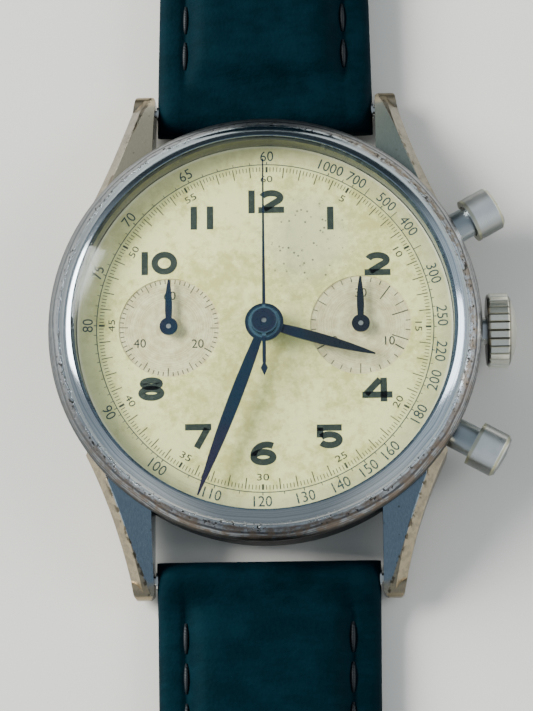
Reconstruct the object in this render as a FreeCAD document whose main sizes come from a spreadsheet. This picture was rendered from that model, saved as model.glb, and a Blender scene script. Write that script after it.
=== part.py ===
"""Hand-wound two-register chronograph wristwatch on a leather strap, as a parametric document.

Frame: +Z out of the dial, +Y to twelve o'clock, +X along the winding stem to the crown.
The origin is on the watch's axis, in the flat outer face of the case back. Millimetres.
"""
import FreeCAD, Part
import math
import os

import Sketcher

Vector = FreeCAD.Vector
Rotation = FreeCAD.Rotation
UP = Vector(0, 0, 1)

doc = FreeCAD.newDocument("chronograph")
sheet = doc.addObject("Spreadsheet::Sheet", "Sizes")


class Size:
    """A length, angle or count: its number now, and the expression that keeps it in step."""

    def __init__(self, now, says):
        self.now = now
        self.says = says

    @staticmethod
    def of(value):
        return value if isinstance(value, Size) else Size(float(value), repr(float(value)))

    def _with(self, other, sign, result):
        return Size(result, f"({self.says} {sign} {Size.of(other).says})")

    def __add__(self, other):
        return self._with(other, "+", self.now + Size.of(other).now)

    def __sub__(self, other):
        return self._with(other, "-", self.now - Size.of(other).now)

    def __mul__(self, other):
        return self._with(other, "*", self.now * Size.of(other).now)

    def __truediv__(self, other):
        return self._with(other, "/", self.now / Size.of(other).now)

    def __radd__(self, other):
        return Size.of(other) + self

    def __rsub__(self, other):
        return Size.of(other) - self

    def __rmul__(self, other):
        return Size.of(other) * self

    def __neg__(self):
        return Size.of(0) - self


def cell(alias, value):
    """One driving dimension: a row of the sheet with its alias."""
    cell.row += 1
    sheet.set(f"A{cell.row}", alias.replace("_", " "))
    sheet.set(f"B{cell.row}", str(value))
    sheet.setAlias(f"B{cell.row}", alias)
    return Size(float(value), f"Sizes.{alias}")


cell.row = 0


def cosine(angle):
    return Size(math.cos(math.radians(angle.now)), f"cos({angle.says})")


def sine(angle):
    return Size(math.sin(math.radians(angle.now)), f"sin({angle.says})")


def root(value):
    return Size(math.sqrt(value.now), f"sqrt({value.says})")


# ---------------------------------------------------------------- driving dimensions
# The movement's size drives the case: what follows below is given as a step outwards from it
movement_radius = cell("movement_radius", 14.8)
opening_step = cell("opening_step", 0.85)
case_wall = cell("case_wall", 1.95)
opening_radius = movement_radius + opening_step
case_radius = opening_radius + case_wall
running_gap = cell("running_gap", 0.05)
seat_gap = cell("seat_gap", 0.03)
bore_radius = movement_radius + running_gap * 2

# Case, back, bezel and crystal
foot_taper = cell("foot_taper", 0.4)
case_foot_radius = case_radius - foot_taper
neck_wall = cell("neck_wall", 0.8)
bezel_overhang = cell("bezel_overhang", 0.4)
bezel_band = cell("bezel_band", 0.35)
bezel_lip = cell("bezel_lip", 0.1)
bezel_rise = cell("bezel_rise", 0.4)
back_thickness = cell("back_thickness", 0.9)
back_flange = cell("back_flange", 0.3)
back_slope = cell("back_slope", 2.7)
back_flat_radius = case_foot_radius - back_slope
snap_ledge = cell("snap_ledge", 0.6)
snap_radius = bore_radius + snap_ledge
snap_wall = cell("snap_wall", 0.5)
snap_height = cell("snap_height", 0.8)
crystal_edge = cell("crystal_edge", 0.6)
crystal_wall = cell("crystal_wall", 0.8)
crystal_thickness = cell("crystal_thickness", 1.0)
crystal_height = cell("crystal_height", 3.3)

# Lugs and spring bars
lug_gap = cell("lug_gap", 19.0)
lug_root_width = cell("lug_root_width", 5.8)
lug_tip_width = cell("lug_tip_width", 1.75)
lug_length = cell("lug_length", 4.35)
lug_reach = case_radius + lug_length
lug_tip_level = cell("lug_tip_level", 1.5)
lug_bevel = cell("lug_bevel", 0.8)
bar_inset = cell("bar_inset", 1.6)
bar_reach = lug_reach - bar_inset
bar_level = cell("bar_level", 2.0)
bar_radius = cell("bar_radius", 0.75)
bar_pivot_radius = cell("bar_pivot_radius", 0.4)
bar_pivot_length = cell("bar_pivot_length", 0.9)

# Crown, stem and pushers
stem_radius = cell("stem_radius", 0.5)
stem_tube_radius = cell("stem_tube_radius", 1.15)
crown_standoff = cell("crown_standoff", 0.85)
crown_start = case_radius + crown_standoff
crown_length = cell("crown_length", 1.95)
crown_dome = cell("crown_dome", 0.6)
crown_radius = cell("crown_radius", 3.15)
crown_ridges = cell("crown_ridges", 28)
crown_groove_depth = cell("crown_groove_depth", 0.22)
pusher_angle = cell("pusher_angle", 29.0)
pusher_tube_radius = cell("pusher_tube_radius", 1.3)
pusher_tube_length = cell("pusher_tube_length", 2.7)
pusher_tube_end = case_radius + pusher_tube_length
pusher_cap_radius = cell("pusher_cap_radius", 1.9)
pusher_cap_standoff = cell("pusher_cap_standoff", 2.1)
pusher_cap_length = cell("pusher_cap_length", 2.6)
pusher_cap_start = case_radius + pusher_cap_standoff
pusher_cap_end = pusher_cap_start + pusher_cap_length
pusher_cap_wall = cell("pusher_cap_wall", 1.0)
pusher_stem_radius = cell("pusher_stem_radius", 0.55)
pusher_travel = cell("pusher_travel", 0.85)

# Movement: plates and bridges
plate_flange_step = cell("plate_flange_step", 0.6)
plate_flange_radius = movement_radius + plate_flange_step
plate_flange = cell("plate_flange", 0.4)
plate_thickness = cell("plate_thickness", 1.6)
plate_rim = cell("plate_rim", 1.5)
train_room = cell("train_room", 1.7)
bridge_thickness = cell("bridge_thickness", 0.6)
lever_room = cell("lever_room", 1.15)
chrono_bridge_thickness = cell("chrono_bridge_thickness", 0.5)
back_room = cell("back_room", 0.35)
wheel_thickness = cell("wheel_thickness", 0.2)
arbor_radius = cell("arbor_radius", 0.25)
pivot_radius = cell("pivot_radius", 0.12)
jewel_radius = cell("jewel_radius", 0.6)
screw_radius = cell("screw_radius", 0.7)

# Movement: train, with its modules and reaches drawn for a movement of 14.8 and grown with it
drawn_radius = cell("drawn_radius", 14.8)
growth = movement_radius / drawn_radius
register_offset = cell("register_offset", 7.95) * growth
barrel_teeth = cell("barrel_teeth", 60)
centre_pinion_teeth = cell("centre_pinion_teeth", 10)
barrel_module = cell("barrel_module", 0.168) * growth
centre_teeth = cell("centre_teeth", 48)
third_pinion_teeth = cell("third_pinion_teeth", 6)
centre_module = cell("centre_module", 0.1733) * growth
third_teeth = cell("third_teeth", 45)
fourth_pinion_teeth = cell("fourth_pinion_teeth", 6)
third_module = cell("third_module", 0.16) * growth
fourth_teeth = cell("fourth_teeth", 60)
escape_pinion_teeth = cell("escape_pinion_teeth", 6)
fourth_module = cell("fourth_module", 0.1167) * growth
escape_teeth = cell("escape_teeth", 15)
escape_radius = cell("escape_radius", 2.0) * growth
escape_heading = cell("escape_heading", -92.0)
lever_heading = cell("lever_heading", -45.0)
fork_length = cell("fork_length", 3.1) * growth
balance_radius = cell("balance_radius", 3.6) * growth
balance_rim = cell("balance_rim", 0.4)
barrel_height = cell("barrel_height", 1.05)
winding_module = cell("winding_module", 0.16) * growth
ratchet_teeth = cell("ratchet_teeth", 42)
crown_wheel_teeth = cell("crown_wheel_teeth", 28)
winding_leaves = cell("winding_leaves", 15)
cannon_teeth = cell("cannon_teeth", 10)
minute_wheel_teeth = cell("minute_wheel_teeth", 30)
minute_pinion_teeth = cell("minute_pinion_teeth", 8)
hour_wheel_teeth = cell("hour_wheel_teeth", 32)
motion_module = cell("motion_module", 0.13) * growth
chrono_module = cell("chrono_module", 0.15) * growth
chrono_teeth = cell("chrono_teeth", 48)
driving_teeth = cell("driving_teeth", 24)
coupling_teeth = cell("coupling_teeth", 18)
recorder_teeth = cell("recorder_teeth", 30)
sliding_teeth = cell("sliding_teeth", 12)

# Dial and hands
dial_thickness = cell("dial_thickness", 0.4)
dial_gap = cell("dial_gap", 0.05)
register_radius = cell("register_radius", 4.2) * growth
register_depth = cell("register_depth", 0.08)
hand_room = cell("hand_room", 1.75)
hand_thickness = cell("hand_thickness", 0.15)
hour_hand_length = cell("hour_hand_length", 9.5) * growth
hour_hand_width = cell("hour_hand_width", 0.9)
minute_hand_clearance = cell("minute_hand_clearance", 0.25)
minute_hand_length = opening_radius - minute_hand_clearance
minute_hand_width = cell("minute_hand_width", 1.05)
sweep_hand_clearance = cell("sweep_hand_clearance", 1.75)
sweep_hand_length = opening_radius - sweep_hand_clearance
sweep_hand_width = cell("sweep_hand_width", 0.3)
sweep_tail_length = cell("sweep_tail_length", 4.65)
small_hand_length = register_radius - 0.2
small_hand_width = cell("small_hand_width", 0.6)
hour_shown = cell("hour_shown", 106.5)
minute_shown = cell("minute_shown", 201.0)

# Strap and buckle
strap_clearance = cell("strap_clearance", 0.95)
strap_width = lug_gap - strap_clearance
strap_narrowing = cell("strap_narrowing", 2.05)
strap_end_width = strap_width - strap_narrowing
strap_thickness = cell("strap_thickness", 2.4)
strap_end_thickness = cell("strap_end_thickness", 1.8)
strap_loop_wall = cell("strap_loop_wall", 0.95)
strap_level = cell("strap_level", 1.2)
tail_level = cell("tail_level", 0.3)
buckle_side_length = cell("buckle_side_length", 75.0)
tail_side_length = cell("tail_side_length", 115.0)
punch_count = cell("punch_count", 7)
punch_pitch = cell("punch_pitch", 6.5)
punch_radius = cell("punch_radius", 1.0)
buckle_wire = cell("buckle_wire", 1.0)
buckle_bar_radius = cell("buckle_bar_radius", 0.6)
buckle_length = cell("buckle_length", 11.0)
tongue_width = cell("tongue_width", 1.8)
keeper_width = cell("keeper_width", 5.0)
keeper_wall = cell("keeper_wall", 0.8)
keeper_gap = cell("keeper_gap", 0.25)
keeper_corner = cell("keeper_corner", 0.7)
keeper_travel = cell("keeper_travel", 12.0)
fixed_keeper_back = buckle_side_length * 0.12
sliding_keeper_back = buckle_side_length * 0.32

# ---------------------------------------------------------------- levels, from the back to the crystal
chrono_bridge_level = back_thickness + back_room
lever_level = chrono_bridge_level + chrono_bridge_thickness
bridge_level = lever_level + lever_room
train_level = bridge_level + bridge_thickness
plate_level = train_level + train_room
dial_level = plate_level + plate_thickness
dial_top = dial_level + dial_thickness
flange_level = dial_level - plate_flange
shoulder_level = dial_top - 0.2
neck_top = dial_top + hand_room
bezel_top = neck_top + bezel_rise
stem_level = train_level + 0.75
bezel_radius = case_radius + bezel_overhang
neck_radius = opening_radius + neck_wall
crystal_radius = opening_radius + crystal_wall * 0.2
crystal_inner = crystal_radius - crystal_wall
hour_level = dial_top + 0.8
minute_level = hour_level + 0.5
sweep_level = minute_level + 0.55
small_level = dial_top + 0.4
TWELVE = 90.0  # the heading of twelve o'clock


# ---------------------------------------------------------------- drawing helpers
SMALL_SIDES = 12
SMALL_FLAT = round(math.cos(math.pi / SMALL_SIDES), 6)  # how far a flat lies from the axis


def bind(thing, **sizes):
    """Set each property to its number, and hold it there with the expression behind it."""
    for name, size in sizes.items():
        size = Size.of(size)
        setattr(thing, name, int(size.now) if name == "Occurrences" else size.now)
        thing.setExpression(name, size.says)


def put(thing, x=0, y=0, z=0, rotation=None):
    """Place an object, with each coordinate bound."""
    across, along, up = Size.of(x), Size.of(y), Size.of(z)
    spot = Vector(across.now, along.now, up.now)
    thing.Placement = FreeCAD.Placement(spot, rotation or Rotation())
    for axis, size in (("x", across), ("y", along), ("z", up)):
        if size.says != "0.0":
            thing.setExpression(f"Placement.Base.{axis}", size.says)
    return thing


def arc_between(start, end, radius):
    """The minor arc from start to end; a positive radius bulges to the right of the way travelled."""
    middle = (start + end) * 0.5
    chord = end - start
    rise = math.sqrt(max(radius * radius - chord.Length ** 2 / 4, 0))
    left = Vector(-chord.y, chord.x, 0).normalize()
    centre = middle + left * rise * (1 if radius > 0 else -1)
    first, last = (start, end) if radius > 0 else (end, start)
    angles = [math.atan2(p.y - centre.y, p.x - centre.x) for p in (first, last)]
    return Part.ArcOfCircle(Part.Circle(centre, UP, abs(radius)), *angles)


def outline(sketch, corners):
    """Close a loop through corners (across, up) or (across, up, radius of the arc that ends there)."""
    corners = [tuple(Size.of(value) for value in corner) for corner in corners]
    points = [Vector(corner[0].now, corner[1].now, 0) for corner in corners]
    ends = []
    for index, corner in enumerate(corners):
        start, end = points[index - 1], points[index]
        if len(corner) == 3:
            edge = sketch.addGeometry(arc_between(start, end, corner[2].now))
            ends.append((edge, 1, 2) if corner[2].now > 0 else (edge, 2, 1))
            radius = abs(corner[2].now)
            rule = sketch.addConstraint(Sketcher.Constraint("Radius", edge, radius))
            sketch.setExpression(f"Constraints[{rule}]", f"abs({corner[2].says})")
        else:
            ends.append((sketch.addGeometry(Part.LineSegment(start, end)), 1, 2))
    for index, corner in enumerate(corners):
        edge, _, last = ends[index]
        after, first, _ = ends[(index + 1) % len(ends)]
        sketch.addConstraint(Sketcher.Constraint("Coincident", edge, last, after, first))
        for kind, size in (("DistanceX", corner[0]), ("DistanceY", corner[1])):
            rule = sketch.addConstraint(Sketcher.Constraint(kind, -1, 1, edge, last, size.now))
            if "Sizes." in size.says:
                sketch.setExpression(f"Constraints[{rule}]", size.says)


def body_sketch(body, role, name):
    """A sketch on one of the body's own origin planes."""
    sketch = body.newObject("Sketcher::SketchObject", name)
    plane = next(item for item in body.Origin.OriginFeatures if item.Role == role)
    sketch.AttachmentSupport = [(plane, "")]
    sketch.MapMode = "FlatFace"
    return sketch


def lathe(label, corners):
    """A body turned about its own Z axis from a half section given as (radius, height)."""
    body = doc.addObject("PartDesign::Body", label)
    sketch = body_sketch(body, "XZ_Plane", label + "_section")
    outline(sketch, corners)
    turning = body.newObject("PartDesign::Revolution", label + "_turning")
    turning.Profile = sketch
    turning.ReferenceAxis = (sketch, ["V_Axis"])
    turning.Angle = 360
    return body


def slab(label, corners, thickness, role="XY_Plane"):
    """A body padded from a plan outline."""
    body = doc.addObject("PartDesign::Body", label)
    sketch = body_sketch(body, role, label + "_outline")
    outline(sketch, corners)
    pad = body.newObject("PartDesign::Pad", label + "_pad")
    pad.Profile = sketch
    bind(pad, Length=thickness)
    return body


def rod(name, radius, length, x=0, y=0, z=0, rotation=None):
    cylinder = doc.addObject("Part::Cylinder", name)
    bind(cylinder, Radius=radius, Height=length)
    return put(cylinder, x, y, z, rotation)


def block(name, across, along, up, x=0, y=0, z=0, rotation=None):
    box = doc.addObject("Part::Box", name)
    bind(box, Length=across, Width=along, Height=up)
    return put(box, x, y, z, rotation)


def small_rod(name, radius, length, x=0, y=0, z=0, rotation=None):
    """A small round piece of the movement, with few sides: its corners lie on the radius."""
    stick = doc.addObject("Part::Prism", name)
    stick.Polygon = SMALL_SIDES
    bind(stick, Circumradius=radius, Height=length)
    return put(stick, x, y, z, rotation)


def small_hole(name, radius, length, x=0, y=0, z=0, rotation=None):
    """The cutter of a small round hole, with few sides: its flats touch the radius."""
    return small_rod(name, Size.of(radius) / SMALL_FLAT, length, x, y, z, rotation)


def joined(label, parts):
    fusion = doc.addObject("Part::MultiFuse", label)
    fusion.Shapes = parts
    return fusion


def without(label, base, tools):
    cut = doc.addObject("Part::Cut", label)
    cut.Base = base
    cut.Tool = tools[0] if len(tools) == 1 else joined(label + "_tools", tools)
    return cut


def together(label, parts):
    """Separate solids that share one node."""
    group = doc.addObject("Part::Compound", label)
    group.Links = parts
    return group


def edged(label, kind, base, size, chosen):
    """Chamfer or fillet, as kind says, the edges of a finished shape for which chosen(edge) holds."""
    worked = doc.addObject(kind, label)
    worked.Base = base
    doc.recompute()
    numbered = enumerate(base.Shape.Edges, start=1)
    worked.Edges = [(number, size.now, size.now) for number, edge in numbered if chosen(edge)]
    return worked


def shared(label, parts):
    common = doc.addObject("Part::MultiCommon", label)
    common.Shapes = parts
    return common


def polar(distance, angle):
    """The point at a distance and an angle from the watch's axis, as two sizes."""
    return distance * cosine(angle), distance * sine(angle)


def feature(label, shape, x=0, y=0, z=0, turn=0.0):
    """A sub-part whose shape is worked out here, from the sheet's numbers."""
    thing = doc.addObject("Part::Feature", label)
    thing.Shape = shape
    spot = Vector(Size.of(x).now, Size.of(y).now, Size.of(z).now)
    thing.Placement = FreeCAD.Placement(spot, Rotation(UP, turn))
    return thing


def loop(points, z=0.0):
    """A closed straight-sided wire through (x, y) points."""
    corners = [Vector(x, y, z) for x, y in points]
    return Part.Wire(Part.makePolygon(corners + corners[:1]))


def prism(points, low, high):
    return Part.Face(loop(points, low)).extrude(Vector(0, 0, high - low))


def disc(radius, low, high, x=0.0, y=0.0):
    return Part.makeCylinder(radius, high - low, Vector(x, y, low))


def ring_points(radius, sides, x=0.0, y=0.0):
    """The corners of a regular polygon."""
    turns = [2 * math.pi * index / sides for index in range(sides)]
    return [(x + radius * math.cos(turn), y + radius * math.sin(turn)) for turn in turns]


def pin(radius, low, high, x=0.0, y=0.0):
    """A thin upright pin or arbor, with few sides."""
    return prism(ring_points(radius, SMALL_SIDES, x, y), low, high)


def eye(radius, x=0.0, y=0.0):
    """The cutter of a small upright hole through everything, with few sides."""
    return prism(ring_points(radius / SMALL_FLAT, SMALL_SIDES, x, y), 0, neck_top.now)


def washer(outer, inner, low, high):
    return disc(outer, low, high).cut(disc(inner, low - 1, high + 1))


# ---------------------------------------------------------------- gears
TOOTH_HEIGHT = 0.75
TOOTH_DEPTH = 1.15
ARM_WIDTH = 0.35


def wheel_points(teeth, module):
    """Pointed teeth of a wheel: three corners to a tooth, the first tooth on +X."""
    count = int(round(teeth))
    pitch = 2 * math.pi / count
    tip, foot = module * (count / 2 + TOOTH_HEIGHT), module * (count / 2 - TOOTH_DEPTH)
    points = []
    for index in range(count):
        for share, radius in ((-0.34, foot), (0.0, tip), (0.34, foot)):
            angle = (index + share) * pitch
            points.append((radius * math.cos(angle), radius * math.sin(angle)))
    return points


def leaf_points(teeth, module):
    """Narrow leaves of a pinion: four corners to a leaf, the first leaf on +X."""
    count = int(round(teeth))
    pitch = 2 * math.pi / count
    tip, foot = module * (count / 2 + TOOTH_HEIGHT), module * (count / 2 - TOOTH_DEPTH)
    points = []
    for index in range(count):
        for share, radius in ((-0.17, foot), (-0.07, tip), (0.07, tip), (0.17, foot)):
            angle = (index + share) * pitch
            points.append((radius * math.cos(angle), radius * math.sin(angle)))
    return points


def windows(inner, outer, count, width, low, high):
    """The openings between a wheel's arms."""
    openings = []
    for index in range(count):
        start, end = 2 * math.pi * index / count, 2 * math.pi * (index + 1) / count
        corners = []
        for radius, shares in ((outer, (0, 1 / 3, 2 / 3, 1)), (inner, (1, 0.5, 0))):
            edge = width / 2 / radius
            for share in shares:
                angle = start + edge + (end - start - edge * 2) * share
                corners.append((radius * math.cos(angle), radius * math.sin(angle)))
        openings.append(prism(corners, low, high))
    return openings


def armed_wheel(teeth, module, low, high, spokes=4, hub=0.7, turn=0.0):
    """A toothed wheel with arms, between two heights."""
    foot = module * (teeth / 2 - TOOTH_DEPTH)
    solid = prism(wheel_points(teeth, module), low, high)
    solid = solid.cut(windows(hub, foot - ARM_WIDTH, spokes, ARM_WIDTH, low, high))
    solid.rotate(Vector(), UP, turn)
    return solid


def pinion(teeth, module, low, high, turn=0.0):
    solid = prism(leaf_points(teeth, module), low, high)
    solid.rotate(Vector(), UP, turn)
    return solid


def meshing(teeth, turn, other_teeth, heading):
    """The turn that puts another wheel's teeth into this one's gaps, along the heading between them."""
    phase = (heading - turn) * teeth / 360
    return heading + 180 - (0.5 - phase) * 360 / other_teeth


def heading_between(start, end):
    """The angle of the line from one pivot to another."""
    return math.degrees(math.atan2(end[1].now - start[1].now, end[0].now - start[0].now))


def staff(low, high, radius=None):
    """An arbor that stands between two plates, with a thinner pivot at each end."""
    radius = radius or arbor_radius.now
    pivot = bridge_thickness.now * 0.7
    middle = pin(radius, low + 0.04, high - 0.04)
    return middle.fuse([pin(pivot_radius.now, low - pivot, high + pivot)])


# ---------------------------------------------------------------- where the train's pivots stand
def meeting(reach, other_reach, span, side):
    """Where two circles meet that stand on the X axis, a span apart: (along, off) from the first."""
    along = (span * span + reach * reach - other_reach * other_reach) / (span * 2)
    return along, root(reach * reach - along * along) * side


centre_at = (Size.of(0), Size.of(0))
barrel_reach = (barrel_teeth + centre_pinion_teeth) * barrel_module / 2
winding_reach = (ratchet_teeth + crown_wheel_teeth) * winding_module / 2
barrel_at = meeting(barrel_reach, winding_reach, register_offset, 1)
third_reach = (centre_teeth + third_pinion_teeth) * centre_module / 2
fourth_reach = (third_teeth + fourth_pinion_teeth) * third_module / 2
third_along, third_off = meeting(third_reach, fourth_reach, register_offset, -1)
third_at = (-third_along, third_off)
fourth_at = (-register_offset, Size.of(0))
recorder_at = (register_offset, Size.of(0))
escape_reach = (fourth_teeth + escape_pinion_teeth) * fourth_module / 2
escape_at = (
    fourth_at[0] + escape_reach * cosine(escape_heading),
    escape_reach * sine(escape_heading),
)
fork_reach = escape_radius * 1.155
fork_at = (
    escape_at[0] + fork_reach * cosine(lever_heading),
    escape_at[1] + fork_reach * sine(lever_heading),
)
balance_at = (
    fork_at[0] + fork_length * cosine(lever_heading),
    fork_at[1] + fork_length * sine(lever_heading),
)
minute_wheel_reach = (cannon_teeth + minute_wheel_teeth) * motion_module / 2
minute_wheel_at = (Size.of(0), minute_wheel_reach)
coupling_reach = (driving_teeth + coupling_teeth) * chrono_module / 2
coupling_rest = (chrono_teeth + coupling_teeth) * chrono_module / 2 + 0.3
coupling_along, coupling_off = meeting(coupling_rest, coupling_reach, register_offset, 1)
coupling_at = (-coupling_along, coupling_off)
sliding_reach = (recorder_teeth + sliding_teeth) * chrono_module / 2
sliding_rest = (chrono_teeth + sliding_teeth) * chrono_module / 2 + 0.45
sliding_at = meeting(sliding_rest, sliding_reach, register_offset, -1)

# ---------------------------------------------------------------- case
SIDEWAYS = Rotation(0, 90, 0)  # a piece's own Z axis laid along +X


def outward(angle):
    """The rotation that lays a piece's own Z axis level, away from the watch's axis."""
    return Rotation(angle, 90, 0)


back_radius = case_foot_radius - 0.3
foot_level = back_thickness - 0.1
snap_seat = snap_radius + seat_gap
snap_top = foot_level + snap_height
case_ring = lathe(
    "case_ring",
    [
        (snap_seat, foot_level),
        (case_foot_radius, foot_level),
        (case_radius, foot_level + 1.4),
        (case_radius, shoulder_level),
        (neck_radius, shoulder_level),
        (neck_radius, neck_top),
        (opening_radius, neck_top),
        (opening_radius, flange_level),
        (bore_radius, flange_level),
        (bore_radius, snap_top + seat_gap),
        (snap_seat, snap_top + seat_gap),
    ],
)

lug_inside = lug_gap / 2
lug_tip_x = lug_inside + lug_tip_width
lug_root_y = lug_reach - 12.25
lug_plan = slab(
    "lug_plan",
    [
        (lug_inside, lug_root_y),
        (lug_inside, lug_reach - 0.5),
        (lug_inside + 0.4, lug_reach, -0.7),
        (lug_tip_x - 0.3, lug_reach),
        (lug_tip_x, lug_reach - 0.45, -0.6),
        (lug_inside + lug_root_width, lug_root_y, 40.0),
    ],
    dial_top,
)
lug_top_level = shoulder_level - 0.4
lug_side = slab(
    "lug_side",
    [
        (lug_root_y, foot_level + 0.6),
        (lug_root_y, lug_top_level),
        (lug_reach - 0.5, lug_tip_level + 1.1, -16.0),
        (lug_reach, lug_tip_level + 0.2, -0.9),
        (lug_reach - 0.7, lug_tip_level - 0.9, -0.9),
        (case_radius - 2.6, foot_level + 0.6, 25.0),
    ],
    case_radius + 2,
    "YZ_Plane",
)
lug_whole = shared("lug_whole", [lug_plan, lug_side])


def outer_top(edge):
    """Whether an edge runs along the outside of a lug's top, from the case to the tip."""
    points = [vertex.Point for vertex in edge.Vertexes]
    at_top = max(point.z for point in points) > lug_top_level.now - 0.01
    outside = min(point.x for point in points) > lug_tip_x.now - 0.1
    return at_top and outside and edge.Length > lug_length.now


lug_bevelled = edged("lug_bevelled", "Part::Chamfer", lug_whole, lug_bevel, outer_top)
lug_root = rod("lug_root", case_foot_radius - 0.4, dial_top + 2, z=-1)
lugs = [without("lug", lug_bevelled, [lug_root])]
for name, source, normal in (
    ("lug_left", 0, Vector(1, 0, 0)),
    ("lug_below", 0, Vector(0, 1, 0)),
    ("lug_left_below", 1, Vector(0, 1, 0)),
):
    mirrored = doc.addObject("Part::Mirroring", name)
    mirrored.Source = lugs[source]
    mirrored.Normal = normal
    lugs.append(mirrored)

pivot_reach = lug_inside + bar_pivot_length + 0.1
case_holes = [
    rod("stem_tube_hole", stem_tube_radius + seat_gap, 4,
        x=bore_radius - 0.5, z=stem_level, rotation=SIDEWAYS)
]
for name, angle in (("start", pusher_angle), ("reset", -pusher_angle)):
    x, y = polar(bore_radius - 0.5, angle)
    depth = pusher_tube_end - bore_radius + 0.5
    hole = rod(f"{name}_tube_hole", pusher_tube_radius + seat_gap, depth, x, y, stem_level, outward(angle.now))
    case_holes.append(hole)
for name, side in (("upper", 1), ("lower", -1)):
    bore = small_hole(
        f"{name}_bar_holes", bar_pivot_radius + seat_gap, pivot_reach * 2,
        x=-pivot_reach, y=bar_reach * side, z=bar_level, rotation=SIDEWAYS,
    )
    case_holes.append(bore)
without("case_middle", joined("case_blank", [case_ring] + lugs), case_holes)

lathe(
    "case_back",
    [
        (0, 0),
        (back_flat_radius, 0),
        (back_radius, foot_level - back_flange, 6.5),
        (back_radius, foot_level),
        (snap_radius, foot_level),
        (snap_radius, snap_top),
        (snap_radius - snap_wall, snap_top),
        (snap_radius - snap_wall, back_thickness),
        (0, back_thickness),
    ],
)

bezel_seat = neck_radius + seat_gap
bezel_inner = crystal_radius + seat_gap
bezel_step = (bezel_radius + bezel_inner) / 2
lathe(
    "bezel",
    [
        (bezel_seat, shoulder_level),
        (bezel_radius, shoulder_level),
        (bezel_radius, shoulder_level + bezel_band),
        (bezel_step, (shoulder_level + bezel_band) * 0.4 + bezel_top * 0.6, 4.0),
        (bezel_inner + bezel_lip, bezel_top, 2.5),
        (bezel_inner, bezel_top),
        (bezel_inner, neck_top),
        (bezel_seat, neck_top),
    ],
)

dome_rise = crystal_height - crystal_edge
under_rise = dome_rise - 0.85
under_top = neck_top + crystal_height - crystal_thickness


def dome_radius(rise, half_width):
    return (rise * rise + half_width * half_width) / (rise * 2)


lathe(
    "crystal",
    [
        (0, under_top),
        (crystal_inner, under_top - under_rise, -dome_radius(under_rise, crystal_inner)),
        (crystal_inner, neck_top),
        (crystal_radius, neck_top),
        (crystal_radius, neck_top + crystal_edge),
        (0, neck_top + crystal_height, dome_radius(dome_rise, crystal_radius)),
    ],
)

# ---------------------------------------------------------------- crown, stem and pushers
tube_start = bore_radius + seat_gap
stem_start = register_offset + 0.8
crown_socket = stem_tube_radius + running_gap * 2
socket_depth = crown_length * 0.7
stem_end_in_crown = socket_depth + 0.4
without(
    "crown_tube",
    rod("crown_tube_outside", stem_tube_radius, crown_start - tube_start + socket_depth - 0.2,
        x=tube_start, z=stem_level, rotation=SIDEWAYS),
    [rod("crown_tube_bore", stem_radius + running_gap, 8,
         x=tube_start - 1, z=stem_level, rotation=SIDEWAYS)],
)
crown = lathe(
    "crown",
    [
        (crown_socket, 0),
        (crown_radius - 0.25, 0),
        (crown_radius, 0.25),
        (crown_radius, crown_length - 0.25),
        (crown_radius - 0.35, crown_length),
        (0, crown_length + crown_dome, dome_radius(crown_dome, crown_radius - 0.35)),
        (0, stem_end_in_crown),
        (stem_radius + seat_gap, stem_end_in_crown),
        (stem_radius + seat_gap, socket_depth),
        (crown_socket, socket_depth),
    ],
)
groove_sketch = body_sketch(crown, "XY_Plane", "crown_groove_outline")
outline(
    groove_sketch,
    [
        (crown_radius - crown_groove_depth, 0),
        (crown_radius + crown_groove_depth, -crown_groove_depth),
        (crown_radius + crown_groove_depth, crown_groove_depth),
    ],
)
doc.recompute()
groove_cut = crown.newObject("PartDesign::Pocket", "crown_groove")
groove_cut.Profile = groove_sketch
groove_cut.Type = "ThroughAll"
groove_cut.Reversed = True
crown.Tip = groove_cut
knurl = crown.newObject("PartDesign::PolarPattern", "crown_knurl")
knurl.Originals = [groove_cut]
knurl.Axis = (groove_sketch, ["N_Axis"])
knurl.Angle = 360
bind(knurl, Occurrences=crown_ridges)
crown.Tip = knurl
put(crown, x=crown_start, z=stem_level, rotation=SIDEWAYS)

stem_length = crown_start + stem_end_in_crown - stem_start
lever_notch = stem_length * 0.3
notch_width = 0.5
stem = lathe(
    "winding_stem",
    [
        (0, 0),
        (stem_radius, 0),
        (stem_radius, lever_notch),
        (stem_radius * 0.65, lever_notch),
        (stem_radius * 0.65, lever_notch + notch_width),
        (stem_radius, lever_notch + notch_width),
        (stem_radius, stem_length),
        (0, stem_length),
    ],
)
put(stem, x=stem_start, z=stem_level, rotation=SIDEWAYS)

lever_post_x = stem_start + lever_notch + notch_width / 2
setting_lever_level = stem_level + stem_radius + running_gap
joined(
    "setting_lever",
    [
        block("setting_lever_plate", 1.1, 2.6, 0.25, lever_post_x - 0.55, -0.6, setting_lever_level),
        rod("setting_lever_pin", 0.18, 0.3, lever_post_x, 0, setting_lever_level - 0.12),
    ],
)

spring_pocket = pusher_tube_radius - 0.22
pocket_start = case_radius + 0.6
plunger_tip = movement_radius - 0.3
cap_ceiling = pusher_cap_end - pusher_cap_wall
cap_end = pusher_cap_end - plunger_tip


spring_wire = Size.of(0.2)
spring_turns = 3
cap_doming = Size.of(0.15)


def coil(radius, wire, height, turns):
    """A compression spring of square wire about the Z axis."""
    helix = Part.makeHelix(height / turns, height, radius)
    half = wire / 2
    corners = [(radius - half, -half), (radius + half, -half), (radius + half, half), (radius - half, half)]
    profile = Part.makePolygon([Vector(x, 0, z) for x, z in corners + corners[:1]])
    return Part.Wire(helix).makePipeShell([Part.Wire(profile)], True, True)


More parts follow.
